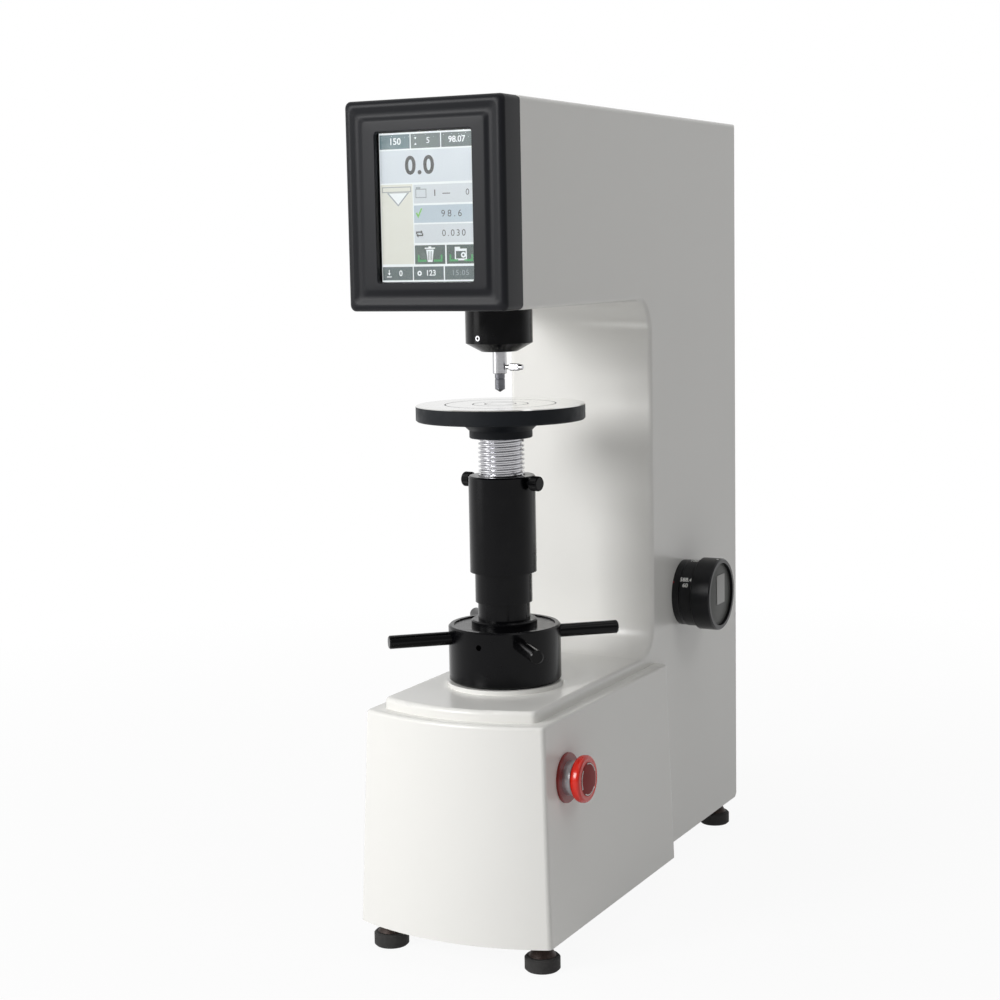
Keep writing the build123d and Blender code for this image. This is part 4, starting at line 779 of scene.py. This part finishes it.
# %% Tiles and signs of the picture
DISC_POINTS, BODY_SIZE = 12, 1.4
picture = []


def picture_place(across, down, layer):
    """A place on the picture from shares of its width and height, a few layers in front of the panel."""
    x = PICTURE_LEFT + across * (PICTURE_RIGHT - PICTURE_LEFT)
    z = PICTURE_TOP - down * (PICTURE_TOP - PICTURE_BOTTOM)
    return at(x, panel_low.y - layer * LAYER, z)


def shape(points, layer, material):
    """A flat shape with its corners at shares of the picture: a circle whose points are moved."""
    settings = {"vertices": len(points), "radius": MM, "fill_type": "NGON"}
    piece = start(bpy.ops.mesh.primitive_circle_add, "tile", **settings)
    mesh = bmesh.from_edit_mesh(piece.data)
    mesh.verts.ensure_lookup_table()
    for vertex, (across, down) in zip(mesh.verts, points):
        vertex.co = picture_place(across, down, layer)
    bmesh.update_edit_mesh(piece.data)
    bpy.ops.mesh.select_all(action="SELECT")
    bpy.ops.mesh.normals_make_consistent(inside=False)
    mesh = bmesh.from_edit_mesh(piece.data)
    mesh.faces.ensure_lookup_table()
    if mesh.faces[0].normal.y > 0:
        bpy.ops.mesh.flip_normals()
    alone(piece)
    coat(piece, material)
    picture.append(piece)


def tile(left, top, right, bottom, layer, material):
    """A rectangle of the picture."""
    shape([(left, top), (left, bottom), (right, bottom), (right, top)], layer, material)


def disc(across, down, width, height, layer, material):
    """A round dot of the picture."""
    angles = [2 * pi * n / DISC_POINTS for n in range(DISC_POINTS)]
    shape([(across + width * cos(a), down + height * sin(a)) for a in angles], layer, material)


def frame_tile(left, top, right, bottom, line, layer, material):
    """Four narrow tiles round a rectangle."""
    tall = line * (PICTURE_RIGHT - PICTURE_LEFT) / (PICTURE_TOP - PICTURE_BOTTOM)
    tile(left, top, right, top + tall, layer, material)
    tile(left, bottom - tall, right, bottom, layer, material)
    tile(left, top, left + line, bottom, layer, material)
    tile(right - line, top, right, bottom, layer, material)


def words(name, body, size, place, axis, material, depth=0.04, bold=0.0, spacing=1.0, align="CENTER"):
    """Text as a mesh, size mm high, centred on a place and facing along an axis."""
    bpy.ops.object.select_all(action="DESELECT")
    bpy.ops.object.text_add()
    sign = bpy.context.object
    sign.name = name
    sign.data.body = body
    sign.data.size = size * MM * BODY_SIZE
    sign.data.align_x, sign.data.align_y = align, "CENTER"
    sign.data.extrude = depth * MM
    sign.data.offset = bold * MM
    sign.data.space_character = spacing
    sign.data.resolution_u = 4
    bpy.ops.object.convert(target="MESH")
    sign = bpy.context.object
    sign.data.name = name
    coat(sign, material)
    stand(sign, place, axis)
    return sign


def label(text, size, across, down, material, layer=3, bold=0.0, spacing=1.0):
    """Digits on the picture."""
    place = picture_place(across, down, layer)
    picture.append(words("digits", text, size, place, (0, -1, 0), material, 0.02, bold, spacing))


bar_grey = lit("display_bar_grey", "5C6868")
bar_blue = lit("display_bar_blue", "557078")
field_blue = lit("display_field_blue", "E2E7EE")
field_cream = lit("display_field_cream", "EEEBE0")
row_blue = lit("display_row_blue", "C3D0DB")
row_pale = lit("display_row_pale", "DFE3E8")
line_white = lit("display_line_white", "F6F7F8", 0.95)
button_green = lit("display_button_green", "46564F")
glow_green = lit("display_glow_green", "3FA558")
tick_green = lit("display_tick_green", "7CC94B")
ink = lit("display_ink", "231A18")
ink_grey = lit("display_ink_grey", "9FA6A9")
print("screen colours ready")

# %% Fields of the picture
tile(0, 0, 1, 1, 1, line_white)
bars = ((0.006, 0.328, bar_blue), (0.338, 0.648, bar_grey), (0.658, 0.99, bar_grey))
for left, right, material in bars:
    tile(left, 0.012, right, 0.108, 2, material)
tile(0.006, 0.118, 0.994, 0.335, 2, field_blue)
tile(0.006, 0.345, 0.345, 0.88, 2, field_cream)
rows = ((0.35, 0.475, row_pale), (0.488, 0.605, row_blue), (0.615, 0.74, row_pale))
for top, bottom, material in rows:
    tile(0.355, top, 0.994, bottom, 2, material)
for left, right in ((0.355, 0.675), (0.69, 0.994)):
    tile(left, 0.755, right, 0.882, 2, button_green)
    for corner, side in ((left + 0.03, 1), (right - 0.03, -1)):
        for length, top in ((0.018, 0.82), (0.09, 0.852)):
            end = corner + length * side
            tile(min(corner, end), top, max(corner, end), 0.866, 3, glow_green)
for left, right in ((0.006, 0.328), (0.338, 0.655), (0.668, 0.99)):
    tile(left, 0.898, right, 0.988, 2, bar_grey)

# %% Signs and digits of the picture
label("150", 5.4, 0.17, 0.06, line_white, bold=0.12)
label("5", 5.0, 0.52, 0.06, line_white)
label("98.07", 5.0, 0.82, 0.06, line_white, bold=0.12)
for top, bottom in ((0.035, 0.05), (0.085, 0.07)):
    shape([(0.375, top), (0.388, bottom), (0.401, top)], 3, line_white)
label("0.0", 14.6, 0.425, 0.226, ink, bold=0.55, spacing=1.12)
frame_tile(0.02, 0.36, 0.33, 0.398, 0.008, 3, ink_grey)
shape([(0.07, 0.4), (0.19, 0.492), (0.31, 0.4)], 3, ink_grey)
shape([(0.092, 0.403), (0.19, 0.48), (0.288, 0.403)], 4, line_white)
frame_tile(0.375, 0.378, 0.492, 0.44, 0.009, 3, ink_grey)
tile(0.38, 0.366, 0.43, 0.38, 3, ink_grey)
label("1", 5.2, 0.58, 0.41, ink, bold=0.12)
tile(0.66, 0.41, 0.74, 0.416, 3, ink)
label("0", 5.0, 0.92, 0.41, ink)
tick = [(0.375, 0.54), (0.4, 0.575), (0.445, 0.51), (0.43, 0.507), (0.4, 0.55), (0.388, 0.533)]
shape(tick, 3, tick_green)
label("98.6", 5.6, 0.75, 0.548, ink, spacing=1.5)
label("0.030", 5.4, 0.77, 0.678, ink, spacing=1.35)
for side in (-1, 1):
    middle_across, middle_down = 0.41 + side * 0.002, 0.678
    points = [(-0.035, 0.004), (-0.035, -0.016), (0.015, -0.016), (0.015, -0.026), (0.036, -0.011)]
    points += [(0.015, 0.003), (0.015, -0.007), (-0.022, -0.007), (-0.022, 0.004)]
    shape([(middle_across - side * x, middle_down - side * y) for x, y in points], 3, ink)
shape([(0.475, 0.785), (0.49, 0.868), (0.54, 0.868), (0.555, 0.785)], 3, line_white)
tile(0.46, 0.772, 0.57, 0.78, 3, line_white)
tile(0.5, 0.764, 0.53, 0.772, 3, line_white)
for slot_middle in (0.498, 0.515, 0.532):
    tile(slot_middle - 0.003, 0.796, slot_middle + 0.003, 0.856, 4, button_green)
tile(0.775, 0.782, 0.9, 0.86, 3, line_white)
tile(0.775, 0.77, 0.83, 0.784, 3, line_white)
tile(0.787, 0.798, 0.888, 0.848, 4, button_green)
disc(0.865, 0.824, 0.026, 0.019, 5, line_white)
disc(0.865, 0.824, 0.011, 0.008, 6, button_green)
tile(0.05, 0.962, 0.1, 0.968, 3, line_white)
shape([(0.06, 0.94), (0.075, 0.956), (0.09, 0.94)], 3, line_white)
tile(0.071, 0.918, 0.079, 0.942, 3, line_white)
disc(0.4, 0.943, 0.024, 0.0175, 3, line_white)
disc(0.4, 0.943, 0.01, 0.0073, 4, bar_grey)
label("0", 4.6, 0.2, 0.943, line_white, bold=0.12)
label("123", 4.6, 0.52, 0.943, line_white, bold=0.12)
label("15:05", 4.4, 0.83, 0.943, ink_grey, spacing=1.2)
finish(merged("screen_picture", *picture), "frame")

# %% [markdown]
# Two black thumb screws clamp the cover tube to the lead screw. Each has a slim collar and a barrel head
# with straight knurling, which is what the fingers grip. The head is modelled once and copied.

# %% Thumb screws on the cover tube
THUMB_RADIUS, THUMB_LENGTH, THUMB_RIDGES, THUMB_DEPTH, THUMB_EDGE = 6.6, 9.0, 30, 0.4, 0.9
THUMB_COLLAR, THUMB_COLLAR_LENGTH, TUBE_RADIUS, THUMB_GAP = 4.2, 2.8, 29.75, 0.3
THUMB_ANGLE, THUMB_DROP, COLLAR_EDGE, OVERLAP = -10.0, 5.8, 0.3, 0.2
head = knurled("thumb_head", THUMB_RADIUS, THUMB_LENGTH, THUMB_RIDGES, THUMB_DEPTH, THUMB_EDGE)
stand(head, Vector((0, 0, THUMB_COLLAR_LENGTH * MM)))
coat(head, rod_black)
collar_outline = [(0, 0), (THUMB_COLLAR - COLLAR_EDGE, 0), (THUMB_COLLAR, COLLAR_EDGE)]
collar_end = THUMB_COLLAR_LENGTH + OVERLAP
collar_outline += [(THUMB_COLLAR, collar_end), (0, collar_end)]
collar = turned("thumb_collar", collar_outline, 32)
coat(collar, rod_black)
thumb_pattern = merged("thumb_screw_right", head, collar)
thumb_height = high("outer_sleeve").z - THUMB_DROP
thumb_twin = copied(thumb_pattern, "thumb_screw_left")
for piece, turn, side in ((thumb_twin, 180, "left"), (thumb_pattern, 0, "right")):
    outward = level_way(THUMB_ANGLE + turn)
    stand(piece, at(0, 0, thumb_height) + outward * (TUBE_RADIUS + THUMB_GAP) * MM, outward)
    finish(piece, f"cover_screw_{side}", [f"sleeve_screw_{side}"])

# %% [markdown]
# The indenter is held by a small bright screw in the side of the spindle: a neck, a knurled barrel and a
# tapered end. The indenter itself is a ground shank with a fine groove, a short cone, and the diamond's
# dark setting at the very tip.

# %% Indenter and its screw
GRIP_RADIUS, GRIP_RIDGES, GRIP_DEPTH, NECK_LENGTH, GRIP_LENGTH = 3.2, 18, 0.28, 3.4, 9.6
SPINDLE_RADIUS = 6.5
grip_height = (low("indenter_screw").z + high("indenter_screw").z) / 2
tail_end = high("indenter_screw").x - SPINDLE_RADIUS
grip = knurled("grip", GRIP_RADIUS, GRIP_LENGTH, GRIP_RIDGES, GRIP_DEPTH, 0.8)
stand(grip, Vector((0, 0, NECK_LENGTH * MM)))
neck = turned("neck", [(0, 0), (2.0, 0), (2.0, 2.6), (2.4, 3.0), (2.4, 3.6), (0, 3.6)], 24)
tail_start = NECK_LENGTH + GRIP_LENGTH - 0.1
tail_outline = [(0, tail_start), (2.5, tail_start), (2.5, tail_start + 0.5), (2.2, tail_end - 0.5)]
tail_outline += [(1.7, tail_end), (0, tail_end)]
tail = turned("tail", tail_outline, 24)
for piece in (grip, neck, tail):
    coat(piece, bright_steel)
grip_screw = merged("indenter_clamp_screw", grip, neck, tail)
stand(grip_screw, at(SPINDLE_RADIUS, 0, grip_height), (1, 0, 0))
finish(grip_screw, "indenter_clamp", ["indenter_screw"])

INDENTER_RADIUS, SETTING_RADIUS, SETTING_RISE, CONE_RISE = 4.4, 1.1, 0.65, 2.6
GROOVE_RADIUS, SHANK_RADIUS, SHANK_RISE, SHOULDER_GAP = INDENTER_RADIUS - 0.35, 3.2, 2.0, 0.1
shoulder = low("spindle").z - low("indenter").z
outline = [(0, 0), (SETTING_RADIUS, SETTING_RISE), (INDENTER_RADIUS, CONE_RISE)]
outline += [(INDENTER_RADIUS, shoulder - 5.0), (GROOVE_RADIUS, shoulder - 4.7)]
outline += [(GROOVE_RADIUS, shoulder - 4.2), (INDENTER_RADIUS, shoulder - 3.9)]
outline += [(INDENTER_RADIUS, shoulder - SHOULDER_GAP), (SHANK_RADIUS, shoulder - SHOULDER_GAP)]
outline += [(SHANK_RADIUS, shoulder + SHANK_RISE), (0, shoulder + SHANK_RISE)]
diamond_indenter = turned("diamond_indenter", outline, 48)
coat(diamond_indenter, grey_steel, moulded_black)
paint(diamond_indenter, 1, lambda middle, normal: middle.z < SETTING_RISE * MM)
stand(diamond_indenter, at(0, 0, low("indenter").z))
finish(diamond_indenter, "spindle", ["indenter"])

# %% [markdown]
# Socket screws have a hexagon pressed into the head. Each starts as a disc, and the hexagon is a ring of
# points moved onto its six sides and then pushed down.

# %% Helper for socket screws
SCREW_POINTS, FACE_EDGE, FACE_SHARE, HEAD_LENGTH = 48, 0.1, 0.95, 1.0


def socket_screw(name, radius, socket, depth, proud, shank=None):
    """A screw head with a hexagon socket, its face proud mm above its own origin, and a shank below."""
    settings = {"vertices": SCREW_POINTS, "radius": radius * MM, "fill_type": "NGON"}
    screw = start(bpy.ops.mesh.primitive_circle_add, name, **settings)
    if shank:
        shank_radius, shank_length = shank
        swell(shank_radius / radius)
        bpy.ops.transform.translate(value=(0, 0, -shank_length * MM))
        push(shank_length - (radius - shank_radius) - FACE_EDGE)
        push(radius - shank_radius)
        swell(radius / shank_radius)
    else:
        bpy.ops.transform.translate(value=(0, 0, -HEAD_LENGTH * MM))
        push(HEAD_LENGTH - FACE_EDGE + proud)
    push(FACE_EDGE)
    swell(FACE_SHARE)
    push()
    mesh = bmesh.from_edit_mesh(screw.data)
    for vertex in mesh.verts:
        if vertex.select:
            turn = atan2(vertex.co.y, vertex.co.x) % (pi / 3) - pi / 6
            flat = vertex.co.xy.normalized() * socket * MM / cos(turn)
            vertex.co.x, vertex.co.y = flat.x, flat.y
    bmesh.update_edit_mesh(screw.data)
    push(-depth)
    bpy.ops.mesh.select_all(action="SELECT")
    bpy.ops.mesh.normals_make_consistent(inside=False)
    alone(screw)
    return screw


# %% Set screw in the nose, and the cover screws
SET_ANGLE, SET_RADIUS, SET_SOCKET, SET_RISE, NOSE_RADIUS = -102.0, 2.4, 1.25, 12.5, 29.6
SET_DEPTH, SET_PROUD = 0.9, 0.15
set_screw = socket_screw("nose_set_screw", SET_RADIUS, SET_SOCKET, SET_DEPTH, SET_PROUD)
coat(set_screw, bright_steel)
outward = level_way(SET_ANGLE)
stand(set_screw, at(0, 0, low("spindle_nose").z + SET_RISE) + outward * NOSE_RADIUS * MM, outward)
finish(set_screw, "frame")

HEAD_RADIUS, HEAD_SOCKET, SOCKET_DEPTH, SCREW_RADIUS, SCREW_LENGTH = 4.0, 1.5, 1.4, 2.0, 16.0
SCREW_INSET, HOUSING_SIDE, HOUSING_INSET = 5.0, 62.0, 14.0
cover_low, cover_high = low("rear_cover"), high("rear_cover")
top_low, top_high = low("top_cover"), high("top_cover")
housing_low, housing_high = low("screen_bezel"), high("screen_bezel")
housing_seat = low("cover_screws").y + SCREW_LENGTH
shank = (SCREW_RADIUS, SCREW_LENGTH)
pattern = socket_screw("cover_screw", HEAD_RADIUS, HEAD_SOCKET, SOCKET_DEPTH, 0, shank)
coat(pattern, black_steel)
cover_middle = (cover_low.z + cover_high.z) / 2
places = []
for x in (cover_low.x + SCREW_INSET, cover_high.x - SCREW_INSET):
    for z in (cover_low.z + SCREW_INSET, cover_middle, cover_high.z - SCREW_INSET):
        places.append((at(x, cover_high.y, z), (0, 1, 0)))
    for y in (top_low.y + SCREW_INSET, top_high.y - SCREW_INSET):
        places.append((at(x, y, top_high.z), (0, 0, 1)))
for x in (-HOUSING_SIDE, HOUSING_SIDE):
    for z in (housing_low.z + HOUSING_INSET, housing_high.z - HOUSING_INSET):
        places.append((at(x, housing_seat, z), (0, 1, 0)))
cover_screw_heads = []
for place, outward in places:
    screw = copied(pattern, "cover_screw")
    stand(screw, place, outward)
    cover_screw_heads.append(screw)
bpy.data.objects.remove(pattern)
print(len(cover_screw_heads), "cover screws, first at", [round(v, 4) for v in places[0][0]])
finish(merged("socket_cover_screws", *cover_screw_heads), "frame", ["cover_screws"])

# %% [markdown]
# The load knob has three rings: a fixed one with a red index line, a dial with the three test loads in
# two units, and the grip. The digits are white and filled in, so they are flat text laid against the
# dial and turned round its axis, once for each position. A plain metal plate sits in the sunk face.

# %% Load dial, index and knob plate
white_paint, tree, surface = new_material("filled_white_paint", "F2F2EE", 0.5)
tint(tree, surface, grain(tree, 1.5, 3.0).outputs["Fac"], "E8E8E4", "F8F8F5")
red_paint, tree, surface = new_material("filled_red_paint", "A01C26", 0.5)
tint(tree, surface, grain(tree, 1.5, 3.0).outputs["Fac"], "981A24", "AA2029")
plate_grey, tree, surface = new_material("brushed_plate", "A3A3A1", 0.5, 0.2)
tint(tree, surface, grain(tree, 2.0, 2.0, (1.0, 14.0, 1.0)).outputs["Fac"], "989896", "AEAEAC")
face_grey, tree, surface = new_material("satin_knob_face", "353733", 0.5)
tint(tree, surface, grain(tree, 4.0, 3.0).outputs["Fac"], "30322F", "3C3E3A")

dial_low, dial_high = low("selector_dial"), high("selector_dial")
knob_low, knob_high = low("selector_knob"), high("selector_knob")
ring_low, ring_high = low("selector_ring"), high("selector_ring")
dial_axis = at(0, (dial_low.y + dial_high.y) / 2, (dial_low.z + dial_high.z) / 2)
dial_radius = (dial_high.z - dial_low.z) / 2
DIGIT_SIZE, ROW_ANGLES, DIAL_STEP, INDEX_ANGLE, MARK_ANGLE = 4.0, (31.5, 21.5), 60.0, 26.5, 84.0
RING_STEP, SINK, DIGIT_DEPTH, DIGIT_BOLD = 3.0, 0.02, 0.1, 0.1
knob_radius = (knob_high.z - knob_low.z) / 2
ring_radius = knob_radius - RING_STEP


def wrapped(piece, angle):
    """Turn a piece laid in front of the knob's axis upwards by an angle in degrees, and put it there."""
    alone(piece)
    piece.rotation_euler = (-radians(angle), 0, 0)
    piece.location = dial_axis
    bpy.ops.object.transform_apply()
    return piece


rows = []
for position, pair in enumerate((("588.4", "60"), ("980.7", "100"), ("1471", "150"))):
    for text, row_angle in zip(pair, ROW_ANGLES):
        place = Vector(((dial_low.x + dial_high.x) / 2, SINK - dial_radius, 0)) * MM
        row = words(
            "load_digits", text, DIGIT_SIZE, place, (0, -1, 0), white_paint, DIGIT_DEPTH, DIGIT_BOLD
        )
        rows.append(wrapped(row, row_angle + position * DIAL_STEP))
finish(merged("dial_digits", *rows), "selector")


def tablet(name, size, width, material):
    """A thin plate on its own origin with softened edges, its size in millimetres."""
    piece = start(bpy.ops.mesh.primitive_cube_add, name, size=1, scale=Vector(size) * MM)
    settle()
    pick(piece, "EDGE", lambda middle, along: abs(along.y) > 0.9)
    bpy.ops.mesh.bevel(offset=width * MM, segments=3, affect="EDGES")
    soften(piece, 0.08, 2)
    coat(piece, material)
    return piece


index = tablet("dial_index", (4.6, 0.3, 1.4), 0.3, red_paint)
stand(index, Vector(((ring_low.x + ring_high.x + 1.0) / 2, SINK - ring_radius, 0)) * MM)
finish(wrapped(index, INDEX_ANGLE), "frame")
mark = tablet("knob_mark", (2.4, 0.3, 1.8), 0.4, white_paint)
stand(mark, Vector((knob_high.x - 2.8, SINK - knob_radius, 0)) * MM)
finish(wrapped(mark, MARK_ANGLE), "selector")

KNOB_RECESS, KNOB_WALL, KNOB_GAP = 3.0, 4.5, 0.2
PLATE_SIZE, PLATE_CORNER, PLATE_PLACE = (20.5, 0.8, 28.6), 1.0, (0.8, 2.3, 4.7)
face_radius = knob_radius - KNOB_WALL - KNOB_GAP
face_outline = [(0, 0), (face_radius, 0), (face_radius, 0.3), (face_radius - 0.4, 0.5), (0, 0.5)]
knob_face = turned("knob_face", face_outline, 64)
coat(knob_face, face_grey)
face_x = knob_high.x - KNOB_RECESS
stand(knob_face, dial_axis + Vector((face_x * MM, 0, 0)), (1, 0, 0))
finish(knob_face, "selector")
plate = tablet("knob_plate", PLATE_SIZE, PLATE_CORNER, plate_grey)
plate.rotation_euler = (0, 0, pi / 2)
plate.location = dial_axis + (Vector((face_x, 0, 0)) + Vector(PLATE_PLACE)) * MM
finish(plate, "selector")

# %% [markdown]
# The stop button's cap has a darker pad in its face, with the usual ring of turning arrows printed round
# it. The pad follows the cap's slight dome, and the arrows are cut from a thin ring.

# %% Stop button face
CAP_TOP, CAP_FACE, CAP_SHOULDER = 21.0, 16.5, 20.0
PAD_RADIUS, PAD_RISE, PAD_SINK, PAD_SHARES = 14.6, 0.14, 0.5, (0.98, 0.8, 0.6, 0.4, 0.2, 0.0)
ARROW_RADIUS, ARROW_WIDTH, ARROW_RISE, ARROW_SPANS = 13.4, 0.8, 0.21, ((20, 95), (135, 205), (235, 320))
TIP_ANGLE, TIP_SCALE, LEAN = 5, 1.05, 0.0363
STOP_SEAT = at(88.207, -60.0, 163.5)
dome_radius = (CAP_FACE**2 + (CAP_TOP - CAP_SHOULDER) ** 2) / (2 * (CAP_TOP - CAP_SHOULDER))


def dome(radius):
    """Height of the cap's face at a radius, above the button's seat."""
    return CAP_TOP - radius**2 / (2 * dome_radius)


pad_red, tree, surface = new_material("printed_dark_red", "7E0A09", 0.5)
surface.inputs["Specular IOR Level"].default_value = 0.15
tint(tree, surface, grain(tree, 6.0, 3.0).outputs["Fac"], "740908", "880D0B")
outline = [(0, dome(0) - PAD_SINK), (PAD_RADIUS, dome(PAD_RADIUS) - PAD_SINK)]
outline += [(PAD_RADIUS, dome(PAD_RADIUS) + PAD_RISE / 2)]
outline += [(share * PAD_RADIUS, dome(share * PAD_RADIUS) + PAD_RISE) for share in PAD_SHARES]
pad = turned("stop_pad", outline, 64)
coat(pad, pad_red)
arrows = [pad]
inner, outer = ARROW_RADIUS - ARROW_WIDTH / 2, ARROW_RADIUS + ARROW_WIDTH / 2
ring = [(inner, dome(inner)), (outer, dome(outer))]
ring += [(outer, dome(outer) + ARROW_RISE), (inner, dome(inner) + ARROW_RISE), (inner, dome(inner))]
for first, last in ARROW_SPANS:
    arrow = turned("arrow", ring, 96)
    bpy.ops.object.mode_set(mode="EDIT")
    middle_turn, half_turn = radians((first + last) / 2), radians((last - first) / 2)
    along = Vector((cos(middle_turn), sin(middle_turn)))
    pick(arrow, "FACE", lambda middle, normal: middle.xy.normalized().dot(along) < cos(half_turn))
    bpy.ops.mesh.delete(type="FACE")
    bpy.ops.mesh.select_mode(type="EDGE")
    bpy.ops.mesh.select_all(action="SELECT")
    bpy.ops.mesh.fill_holes(sides=8)
    pick(
        arrow,
        "VERT",
        lambda middle, normal: middle.xy.length > ARROW_RADIUS * MM
        and abs(atan2(middle.y, middle.x) % (2 * pi) - radians(last)) < radians(TIP_ANGLE),
    )
    bpy.ops.transform.resize(value=(TIP_SCALE, TIP_SCALE, 1.0), center_override=(0, 0, 0))
    bpy.ops.mesh.select_all(action="SELECT")
    bpy.ops.mesh.normals_make_consistent(inside=False)
    alone(arrow)
    coat(arrow, white_paint)
    arrows.append(arrow)
stop_face = merged("stop_face", *arrows)
stand(stop_face, STOP_SEAT, (cos(LEAN), 0, sin(LEAN)))
finish(stop_face, "stop_cap")

# %% [markdown]
# The power switch carries the two plain signs that every such switch has: a bar for on, a ring for off.
# The rocker rests with its lower half pressed in, so the signs lie on two slopes.

# %% Signs on the power switch
PIVOT_DEPTH, PIVOT_HEIGHT, SIGN_SIZE, SIGN_DEPTH = 4.0, 104.5, 3.0, 0.06
SIGNS = (("I", (5.21, 2.79), -20.1), ("O", (3.95, -4.4), 0.1))
rocker_low, rocker_high = low("power_rocker"), high("power_rocker")
rocker_x = (rocker_low.x + rocker_high.x) / 2
pivot = Vector((rocker_x, high("mains_inlet").y - PIVOT_DEPTH, PIVOT_HEIGHT))
signs = []
for text, shift, slope in SIGNS:
    place = pivot + Vector((0, *shift))
    facing = (0, cos(radians(slope)), sin(radians(slope)))
    signs.append(words("sign", text, SIGN_SIZE, at(*place), facing, white_paint, SIGN_DEPTH))
finish(merged("switch_signs", *signs), "power_switch")

# %% [markdown]
# The studio is a pale floor that runs into a white surround, one large softbox in front and to the left,
# one overhead, and two weak ones at the sides: the left one reaches into the throat, and the right one
# keeps the shaded side readable. A product photo like this has no horizon, so the floor fades to white
# with distance, and only the camera and mirror-like rays see the full white: light from the surround on
# the object stays moderate. The room behind the camera is dim, which gives steel its dark lines.

# %% Surround
world = bpy.data.worlds.new("studio")
world.use_nodes = True
bpy.context.scene.world = world


def seen_directly(tree, mirrored=None):
    """A value of 1 for rays that see the white surround, which mirror rays see only in part if asked."""
    rays = add_node(tree, "ShaderNodeLightPath")
    plain = add_node(
        tree,
        "ShaderNodeMath",
        {"operation": "MAXIMUM"},
        {0: rays.outputs["Is Camera Ray"], 1: rays.outputs["Is Transmission Ray"]},
    )
    glossy = rays.outputs["Is Glossy Ray"]
    if mirrored:
        dimmed = add_node(tree, "ShaderNodeMath", {"operation": "MULTIPLY"}, {0: glossy, 1: mirrored})
        glossy = dimmed.outputs["Value"]
    sources = {0: plain.outputs["Value"], 1: glossy}
    either = add_node(tree, "ShaderNodeMath", {"operation": "MAXIMUM"}, sources)
    return either.outputs["Value"]


AMBIENT, DIM_ROOM, AWAY_FROM_CAMERA = 0.2, 0.22, (0.457, -0.889, 0.0)
tree = world.node_tree
direction = add_node(tree, "ShaderNodeNewGeometry")
away = add_node(
    tree,
    "ShaderNodeVectorMath",
    {"operation": "DOT_PRODUCT"},
    {0: direction.outputs["Incoming"]},
)
away.inputs[1].default_value = AWAY_FROM_CAMERA
backdrop = spread(tree, away.outputs["Value"], -0.15, 0.45, DIM_ROOM, 1.0)
strength = spread(tree, seen_directly(tree, backdrop.outputs["Result"]), 0.0, 1.0, AMBIENT, 1.0)
background = tree.nodes["Background"]
background.inputs["Color"].default_value = (1.0, 1.0, 1.0, 1.0)
tree.links.new(strength.outputs["Result"], background.inputs["Strength"])
print("surround light", AMBIENT)

# %% Floor
FLOOR_NEAR_WHITE, FLOOR_FADE, FLOOR_RADIUS = 0.93, 1.6, 6.0
bpy.ops.object.select_all(action="DESELECT")
bpy.ops.mesh.primitive_circle_add(vertices=96, radius=FLOOR_RADIUS, fill_type="NGON")
floor = bpy.context.object
floor.name = "studio_floor"
pale_floor, tree, surface = new_material("pale_floor", "DCDCDC", 0.9)
surface.inputs["Specular IOR Level"].default_value = 0.0
place = add_node(tree, "ShaderNodeTexCoord")
scaled = add_node(
    tree, "ShaderNodeMapping", {"Scale": [1 / FLOOR_FADE] * 3}, {"Vector": place.outputs["Object"]}
)
distance = add_node(
    tree, "ShaderNodeTexGradient", {"gradient_type": "SPHERICAL"}, {"Vector": scaled.outputs["Vector"]}
)
fade = spread(tree, distance.outputs["Fac"], 0.05, 0.85, 1.0, FLOOR_NEAR_WHITE)
shown = add_node(
    tree, "ShaderNodeMath", {"operation": "MULTIPLY"}, {0: fade.outputs["Result"], 1: seen_directly(tree)}
)
white = add_node(tree, "ShaderNodeEmission", {"Strength": 1.0})
blend = add_node(tree, "ShaderNodeMixShader", {}, {"Fac": shown.outputs["Value"]})
tree.links.new(surface.outputs["BSDF"], blend.inputs[1])
tree.links.new(white.outputs["Emission"], blend.inputs[2])
tree.links.new(blend.outputs["Shader"], tree.nodes["Material Output"].inputs["Surface"])
floor.data.materials.append(pale_floor)
print("floor fades to white within", FLOOR_FADE, "m")

# %% Softboxes
def softbox(name, place, target, size, power):
    """A square area lamp at a place, turned towards a target."""
    lamp = bpy.data.lights.new(name, "AREA")
    lamp.size = size
    lamp.energy = power
    holder = bpy.data.objects.new(name, lamp)
    holder.location = place
    holder.rotation_euler = (Vector(target) - Vector(place)).to_track_quat("-Z", "Y").to_euler()
    bpy.context.scene.collection.objects.link(holder)
    return holder


MIDDLE = (0.0, 0.0, 0.4)
softbox("front_left_box", (-1.1, -2.4, 1.33), MIDDLE, 0.95, 51.0)
softbox("left_fill", (-1.7, -1.3, 0.6), (0.0, 0.1, 0.45), 0.8, 5.0)
softbox("overhead_box", (0.2, -0.3, 2.6), MIDDLE, 1.6, 9.0)
softbox("right_fill", (1.8, -0.5, 2.0), (0.0, 0.0, 0.7), 0.8, 4.2)
